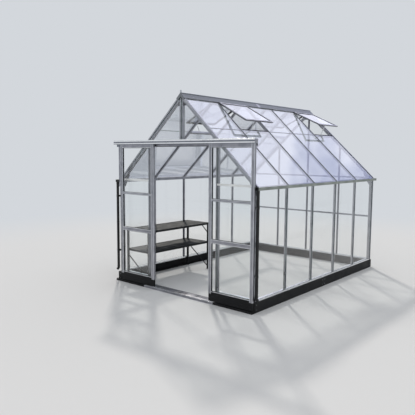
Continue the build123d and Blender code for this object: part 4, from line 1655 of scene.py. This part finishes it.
@dataclass
class LeafFittings(Fittings):
    """Edge beads, gaskets, brush, screws, rail cover and pressed ribs of one sliding leaf."""

    side: Side
    stile: float = 0.042
    panes: tuple[Span, ...] = ((0.158, 0.7295), (0.7745, 1.222), (1.248, 1.836))
    bead_width: float = 0.006
    bead_rise: float = 0.0025
    bead_gap: float = 0.001
    gasket_width: float = 0.004
    gasket_rise: float = 0.0035
    brush_depth: float = 0.006
    brush_width: float = 0.008
    brush_inset: float = 0.006
    brush_gaps: Span = (0.004, 0.008)
    # A rail lower than this has one screw at each end, and others have two
    narrow_rail: float = 0.03
    screw_inset: float = 0.010
    cover_gauge: float = 0.0015
    cover_gap: float = 0.0085
    kick_rib: float = 0.012
    kick_rise: float = 0.0025
    kick_inset: float = 0.020
    kick_levels: Span = (0.022, 0.052)
    roller_inset: float = 0.110
    axle_drop: float = 0.014
    nut_height: float = 0.006
    hanger_inset: float = 0.006
    hanger_screw_out: float = 0.009
    hanger_screw_up: float = 0.005

    def __post_init__(self) -> None:
        """Read the boxes of the leaf and of its kick panel."""
        low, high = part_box(f"door_{self.side.word}_frame")
        self.left, self.right = low.x, high.x
        self.pane_left, self.pane_right = low.x + self.stile, high.x - self.stile
        self.front, self.back = low.y, high.y
        self.bottom, self.top = low.z, high.z
        self.middle = (low.y + high.y) / 2
        self.kick_low, self.kick_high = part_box(f"door_{self.side.word}_kick_panel")

    def build(self) -> None:
        """Make every fitting of the leaf."""
        self.beads()
        self.gaskets()
        self.brush()
        self.screws()
        self.rail_covers()
        self.kick_ribs()
        self.roller_nuts()

    def start(self, name: str, coat: Coat) -> Piece:
        """Start a piece that rides on this leaf."""
        body = Body.DOOR_RIGHT if self.side is Side.RIGHT else Body.DOOR_LEFT
        return Piece(f"door_{self.side.word}_{name}", coat, body)

    def beads(self) -> None:
        """Raise bright edges along both stiles and along the rails, on the front face."""
        # The beads' pale finish is a painted highlight
        piece = self.start("edge_beads", self.finishes.bright)
        front, w = self.front - self.bead_rise, self.bead_width
        for x in (self.left, self.pane_left - w, self.pane_right, self.right - w):
            piece.slab((x, front, self.bottom), (x + w, self.front, self.top - self.bead_gap), soft=0.0008)
        for low, high in self.panes:
            for z in (low - w, high):
                piece.slab((self.pane_left, front, z), (self.pane_right, self.front, z + w), soft=0.0008)
        piece.done()

    def gaskets(self) -> None:
        """Run black gaskets round every pane, on both faces of the glass."""
        piece = self.start("glass_gaskets", self.finishes.rubber)
        left, right, w = self.pane_left, self.pane_right, self.gasket_width
        half = self.house.glass / 2
        for near, far in ((-half - self.gasket_rise, -half), (half, half + self.gasket_rise)):
            y = (self.middle + near, self.middle + far)
            for low, high in self.panes:
                for x in (left, right - w):
                    piece.slab((x, y[0], low), (x + w, y[1], high), soft=0.0007)
                for z in (low, high - w):
                    piece.slab((left + w, y[0], z), (right - w, y[1], z + w), soft=0.0007)
        piece.done()

    def brush(self) -> None:
        """Lay brush strips behind both stiles, against the draught."""
        piece = self.start("brush_strips", self.finishes.rubber)
        end, (low, high) = self.back + self.brush_depth, self.brush_gaps
        for x in (self.left + self.brush_inset, self.right - self.brush_inset - self.brush_width):
            far = (x + self.brush_width, end, self.top - high)
            piece.slab((x, self.back, self.bottom + low), far, soft=0.001)
        piece.done()

    def screws(self) -> None:
        """Screw each joint of a rail with a stile, on the front face."""
        piece = self.start("frame_screws", self.finishes.zinc)
        edges = [self.bottom, *(z for pane in self.panes for z in pane), self.top]
        inset = self.screw_inset
        for low, high in zip(edges[::2], edges[1::2]):
            for z in ((low + high) / 2,) if high - low < self.narrow_rail else (low + inset, high - inset):
                for x in (self.left + self.stile / 2, self.right - self.stile / 2):
                    piece.screw(facing((x, self.front, z), FRONT, UP), *Piece.SMALL_SCREW)
        piece.done()

    def rail_covers(self) -> None:
        """Cover both faces of the bottom rail in black, up to the bright edge under the glass."""
        piece = self.start("rail_covers", self.finishes.base_coat)
        high = self.panes[0][0] - self.cover_gap
        for y, way in ((self.front, -1), (self.back, 1)):
            near = (self.pane_left, y, self.kick_high.z)
            piece.slab(near, (self.pane_right, y + way * self.cover_gauge, high), soft=0.0005)
        piece.done()

    def kick_ribs(self) -> None:
        """Press two ribs along the kick panel, front and back."""
        low, high = self.kick_low, self.kick_high
        piece = self.start("kick_ribs", self.finishes.base_coat)
        for y, way in ((low.y, -1), (high.y, 1)):
            for up in self.kick_levels:
                end = (high.x - self.kick_inset, y + way * self.kick_rise, low.z + up + self.kick_rib)
                piece.slab((low.x + self.kick_inset, y, low.z + up), end, soft=0.0012)
        piece.done()

    def roller_nuts(self) -> None:
        """Bolt the rollers' axles and screw the hanger plates on."""
        piece = self.start("roller_nuts", self.finishes.zinc)
        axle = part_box(f"door_{self.side.word}_hangers")[1].z - self.axle_drop
        y = self.back - self.hanger_inset
        for x in (self.left + self.roller_inset, self.right - self.roller_inset):
            piece.bolt(facing((x, y, axle), FRONT, UP), height=self.nut_height)
            for way in (1, -1):
                spot = (x + way * self.hanger_screw_out, y, self.top + self.hanger_screw_up)
                piece.screw(facing(spot, FRONT, UP), radius=0.003)
        piece.done()


@dataclass
class StagingFittings(Fittings):
    """Pressed ribs, feet and bolts of the two-tier staging."""

    rib_spacing: float = 0.090
    rib_width: float = 0.010
    rib_rise: float = 0.003
    rib_inset: float = 0.020
    edge_width: float = 0.005
    edge_rise: float = 0.0048
    tray_height: float = 0.024
    leg: float = 0.025
    foot_height: float = 0.014
    foot_margin: float = 0.002
    brace_drop: float = 0.120

    def __post_init__(self) -> None:
        """Read the boxes of the trays and of the legs."""
        self.low, self.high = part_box("staging_trays")
        self.shelf_top = self.low.z + self.tray_height
        self.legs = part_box("staging_legs")

    def build(self) -> None:
        """Make the fittings of the staging."""
        self.ribs()
        self.feet()
        self.bolts()

    def ribs(self) -> None:
        """Press ribs across both trays and raise an edge round them."""
        piece = Piece("staging_tray_ribs", self.finishes.staging_coat)
        left, right, edge = self.low.x, self.high.x, self.edge_width
        for top, inset in ((self.high.z, 0.0), (self.shelf_top, self.leg)):
            near, far = self.low.y + inset, self.high.y - inset
            count = int((far - near) / self.rib_spacing)
            for k in range(1, count):
                y = near + k * (far - near) / count - self.rib_width / 2
                end = (right - self.rib_inset, y + self.rib_width, top + self.rib_rise)
                piece.slab((left + self.rib_inset, y, top), end, soft=0.0013)
            for x in (left, right - edge):
                piece.slab((x, near, top), (x + edge, far, top + self.edge_rise), soft=0.001)
            for y in (near, far - edge):
                piece.slab((left + edge, y, top), (right - edge, y + edge, top + self.edge_rise), soft=0.001)
        piece.done()

    def feet(self) -> None:
        """Cap the feet of the legs with rubber."""
        piece = Piece("staging_feet", self.finishes.rubber)
        low, high = self.legs
        m, size = self.foot_margin, self.leg + self.foot_margin
        for x in (low.x, high.x - self.leg):
            for y in (low.y, high.y - self.leg):
                piece.slab((x - m, y - m, 0.0), (x + size, y + size, self.foot_height), soft=0.0015)
        piece.done()

    def bolts(self) -> None:
        """Bolt the front legs to both trays and to the ends of the braces."""
        piece = Piece("staging_bolts", self.finishes.zinc)
        low, high = self.legs
        tray, middle = self.tray_height, self.leg / 2
        for y in (low.y + middle, high.y - middle):
            for z in (self.high.z - 1.5 * tray, self.shelf_top - tray / 2, self.high.z - tray - self.brace_drop):
                piece.bolt(facing((high.x, y, z), RIGHT, UP), across=0.008)
        piece.done()


@dataclass
class Studio:
    """The pale floor, the soft light and the camera at the photograph's viewing angle."""

    floor_colour: str = "#D9DBDE"
    back_colour: str = "#D3D7DC"
    floor_radius: float = 40.0
    fade: Span = (4.0, 9.0)
    card_span: Span = (-10.0, 5.0)
    card_levels: Span = (4.0, 18.0)
    card_distance: float = 13.0
    card_fade: float = 1.6
    # Linear values, because a bright sky goes past the white that a hex code can say
    card_blue: Point = (0.14, 0.19, 0.62, 1.0)
    card_lavender: Point = (1.34, 1.35, 1.60, 1.0)
    blue_to_pale: Span = (10.6, 14.0)
    blue_side: Span = (-5.0, -2.5)
    blue_depth: float = 5.0
    cloud_size: float = 2.0
    cloud_stretch: float = 0.62
    cloud_lift: float = 9.0
    soft_box: tuple[Span, Span] = ((-12.0, 5.0), (5.5, 13.0))
    soft_box_distance: float = -11.0
    soft_box_strength: float = 1.25
    day_light: float = 0.72
    key_strength: float = 1.45
    key_width: float = math.radians(4)
    key_colour: str = "#FFF7EC"
    key_direction: Point = (-6.5, 6.0, 7.5)
    camera_place: Point = (4.283, -6.0305, 1.759)
    camera_yaw: float = math.radians(40.52)
    camera_pitch: float = math.radians(6.05)
    camera_roll: float = math.radians(0.37)
    focal_pixels: float = 502.6
    picture_pixels: float = 415.0
    sensor_width: float = 36.0

    def build(self) -> None:
        """Make the surroundings and aim the camera."""
        self.floor()
        self.sky_card()
        self.front_card()
        self.world()
        self.key_light()
        self.camera()

    def place_object(self, name: str, data: bpy.types.ID) -> bpy.types.Object:
        """Put an object in the scene.

        Args:
            name: Name of the object.
            data: Its mesh, light or camera.

        Returns:
            The object.
        """
        made = bpy.data.objects.new(name, data)
        bpy.context.scene.collection.objects.link(made)
        return made

    def floor(self) -> None:
        """Lay a wide pale disc that takes the shadow and fades into the background."""
        mesh = bmesh.new()
        bmesh.ops.create_circle(mesh, cap_ends=True, segments=96, radius=self.floor_radius)
        data = bpy.data.meshes.new("floor")
        mesh.to_mesh(data)
        mesh.free()
        material, tree = new_material("pale_floor")
        place = add_node(tree, "ShaderNodeTexCoord").outputs["Object"]
        away = add_node(tree, "ShaderNodeVectorMath", {"operation": "LENGTH"}, {0: place}).outputs["Value"]
        settings = {"From Min": self.fade[0], "From Max": self.fade[1], "interpolation_type": "SMOOTHSTEP"}
        share = add_node(tree, "ShaderNodeMapRange", settings, {"Value": away}).outputs["Result"]
        near = add_node(tree, "ShaderNodeBsdfDiffuse", {"Color": hex_colour(self.floor_colour)}).outputs[0]
        far = add_node(tree, "ShaderNodeEmission", {"Color": hex_colour(self.back_colour)}).outputs[0]
        mix = add_node(tree, "ShaderNodeMixShader", {}, {0: share, 1: near, 2: far})
        add_node(tree, "ShaderNodeOutputMaterial", {}, {"Surface": mix.outputs[0]})
        data.materials.append(material)
        self.place_object("floor", data)

    def card(self, name: str, across: Span, levels: Span, y: float) -> Tree:
        """Stand up a card that only glass and metal mirror.

        Args:
            name: Name of the card and of its material.
            across: Its ends along X.
            levels: Its lower and upper edge.
            y: Its distance along the house.

        Returns:
            The node tree of its material, still empty.
        """
        mesh = bmesh.new()
        corners = [(across[0], levels[0]), (across[1], levels[0]), (across[1], levels[1]), (across[0], levels[1])]
        mesh.faces.new([mesh.verts.new((x, y, z)) for x, z in corners])
        data = bpy.data.meshes.new(name)
        mesh.to_mesh(data)
        mesh.free()
        material, tree = new_material(name)
        data.materials.append(material)
        card = self.place_object(name, data)
        card.visible_camera = card.visible_diffuse = card.visible_shadow = False
        return tree

    def front_card(self) -> None:
        """Hang a soft box high in front, which rounded metal edges catch as thin bright lines."""
        tree = self.card("soft_box", *self.soft_box, self.soft_box_distance)
        glow = add_node(tree, "ShaderNodeEmission", {"Strength": self.soft_box_strength})
        add_node(tree, "ShaderNodeOutputMaterial", {}, {"Surface": glow.outputs[0]})

    def sky_card(self) -> None:
        """Stand a cloudy sky behind the house for the roof to mirror: pale, and blue low on the right."""
        tree = self.card("cloudy_sky_card", self.card_span, self.card_levels, self.card_distance)
        place = add_node(tree, "ShaderNodeTexCoord").outputs["Object"]
        spot = add_node(tree, "ShaderNodeSeparateXYZ", {}, {0: place}).outputs
        drift = {"Scale": (self.cloud_stretch / self.cloud_size, 1.0, 1.0 / self.cloud_size)}
        drifted = add_node(tree, "ShaderNodeMapping", drift, {"Vector": place}).outputs["Vector"]
        cloud = add_node(tree, "ShaderNodeTexNoise", {"Scale": 1.0, "Detail": 3.0}, {"Vector": drifted})
        puff = {"operation": "MULTIPLY_ADD", 1: self.cloud_lift}
        lifted = add_node(tree, "ShaderNodeMath", puff, {0: cloud.outputs["Fac"], 2: spot["Z"]}).outputs[0]
        side = {"From Min": self.blue_side[0], "From Max": self.blue_side[1], "To Min": self.blue_depth, "To Max": 0.0}
        away = add_node(tree, "ShaderNodeMapRange", side, {"Value": spot["X"]}).outputs["Result"]
        height = add_node(tree, "ShaderNodeMath", {"operation": "ADD"}, {0: lifted, 1: away}).outputs[0]
        rise = {"From Min": self.blue_to_pale[0], "From Max": self.blue_to_pale[1], "interpolation_type": "SMOOTHSTEP"}
        paleness = add_node(tree, "ShaderNodeMapRange", rise, {"Value": height}).outputs["Result"]
        tones = {"data_type": "RGBA", 6: self.card_blue, 7: self.card_lavender}
        sky = add_node(tree, "ShaderNodeMix", tones, {0: paleness}).outputs[2]
        low = self.card_levels[0]
        edge = {"From Min": low, "From Max": low + self.card_fade, "interpolation_type": "SMOOTHSTEP"}
        share = add_node(tree, "ShaderNodeMapRange", edge, {"Value": spot["Z"]}).outputs["Result"]
        tones = {"data_type": "RGBA", 6: hex_colour(self.back_colour)}
        colour = add_node(tree, "ShaderNodeMix", tones, {0: share, 7: sky}).outputs[2]
        glow = add_node(tree, "ShaderNodeEmission", {"Strength": 1.0}, {"Color": colour})
        add_node(tree, "ShaderNodeOutputMaterial", {}, {"Surface": glow.outputs[0]})

    def world(self) -> None:
        """Light diffuse surfaces evenly, and show eyes, metal and glass the pale background."""
        world = bpy.data.worlds.new("studio")
        bpy.context.scene.world = world
        world.use_nodes = True
        tree = world.node_tree
        tree.nodes.clear()
        path = add_node(tree, "ShaderNodeLightPath").outputs
        seen = path["Is Camera Ray"]
        for ray in ("Is Glossy Ray", "Is Transmission Ray"):
            seen = add_node(tree, "ShaderNodeMath", {"operation": "MAXIMUM"}, {0: seen, 1: path[ray]}).outputs[0]
        light = add_node(tree, "ShaderNodeBackground", {"Color": (1, 1, 1, 1), "Strength": self.day_light})
        back = add_node(tree, "ShaderNodeBackground", {"Color": hex_colour(self.back_colour), "Strength": 1.0})
        mix = add_node(tree, "ShaderNodeMixShader", {}, {0: seen, 1: light.outputs[0], 2: back.outputs[0]})
        add_node(tree, "ShaderNodeOutputWorld", {}, {"Surface": mix.outputs[0]})

    def key_light(self) -> None:
        """Light from behind on the left, as the photograph is lit, softly."""
        data = bpy.data.lights.new("key_light", "SUN")
        data.energy, data.angle = self.key_strength, self.key_width
        data.color = hex_colour(self.key_colour)[:3]
        lamp = self.place_object("key_light", data)
        lamp.rotation_euler = (-Vector(self.key_direction)).to_track_quat("-Z", "Y").to_euler()

    def camera(self) -> None:
        """Aim the photograph's camera: its place, direction, small roll and focal length."""
        yaw, pitch, roll = self.camera_yaw, self.camera_pitch, self.camera_roll
        ahead = Vector((-math.sin(yaw) * math.cos(pitch), math.cos(yaw) * math.cos(pitch), -math.sin(pitch)))
        right = Vector((math.cos(yaw), math.sin(yaw), 0))
        up = right.cross(ahead)
        turned_right = right * math.cos(roll) + up * math.sin(roll)
        turned_up = up * math.cos(roll) - right * math.sin(roll)
        data = bpy.data.cameras.new("camera")
        data.sensor_width = self.sensor_width
        data.lens = self.focal_pixels / self.picture_pixels * self.sensor_width
        camera = self.place_object("camera", data)
        turn = Matrix((turned_right, turned_up, -ahead)).transposed().to_4x4()
        camera.matrix_world = Matrix.Translation(self.camera_place) @ turn
        bpy.context.scene.camera = camera


@dataclass
class CadDress:
    """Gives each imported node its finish."""

    finishes: Finishes

    def build(self) -> None:
        """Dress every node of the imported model."""
        for name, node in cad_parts.items():
            node.data.materials.clear()
            node.data.materials.append(self.coat_of(name).material)

    def coat_of(self, name: str) -> Coat:
        """Choose the finish of a node by what it is.

        Args:
            name: The node's name.

        Returns:
            The finish.
        """
        made = self.finishes
        choices = {
            "vent_glass": made.roof_glass,
            "glass": made.wall_glass,
            "base": made.base_coat,
            "kick_panel": made.base_coat,
            "staging": made.staging_coat,
            "downpipe": made.pipe_plastic,
            "hangers": made.roller_plastic,
            # The ridge cap and the track carry painted highlight bands
            "ridge_cap": made.ridge,
            "door_track": made.track,
            "gutter": made.gutter,
            # Sills and vent openers take the pale aluminium, a painted highlight
            "sills": made.bright,
            "vent_openers": made.bright,
        }
        for word, coat in choices.items():
            if word in name and name != "vent_sills":
                return coat
        return made.bars[self.run_of(name)]

    def run_of(self, name: str) -> Run:
        """Choose the way that the die lines of an aluminium node run.

        Args:
            name: The node's name.

        Returns:
            The way.
        """
        if name.startswith(("rafters", "roof_bars")):
            return Run.SLOPE_RIGHT if name.endswith(Side.RIGHT.word) else Run.SLOPE_LEFT
        if name.startswith(("eaves", "ridge", "vent_sills")):
            return Run.LENGTHWISE
        if any(word in name for word in ("cross_bars", "door_head", "threshold")):
            return Run.CROSSWISE
        return Run.UPRIGHT


def main() -> None:
    """Dress the model, add the details, then set the stage."""
    logging.basicConfig(level=logging.INFO, format="%(message)s")
    house, finishes = House(), Finishes()
    CadDress(finishes).build()
    Panes(house, finishes).build()
    for side in Side:
        for kind in (SideGlazing, RainFittings, LeafFittings):
            kind(house, finishes, side).build()
    for gable in Gable:
        GableGlazing(house, finishes, gable).build()
    for kind in (BaseFittings, FrameFittings, RidgeFittings, VentFittings, TrackFittings, StagingFittings):
        kind(house, finishes).build()
    Studio().build()
    bpy.context.scene.view_settings.view_transform = "Standard"


if __name__ == "__main__":
    main()
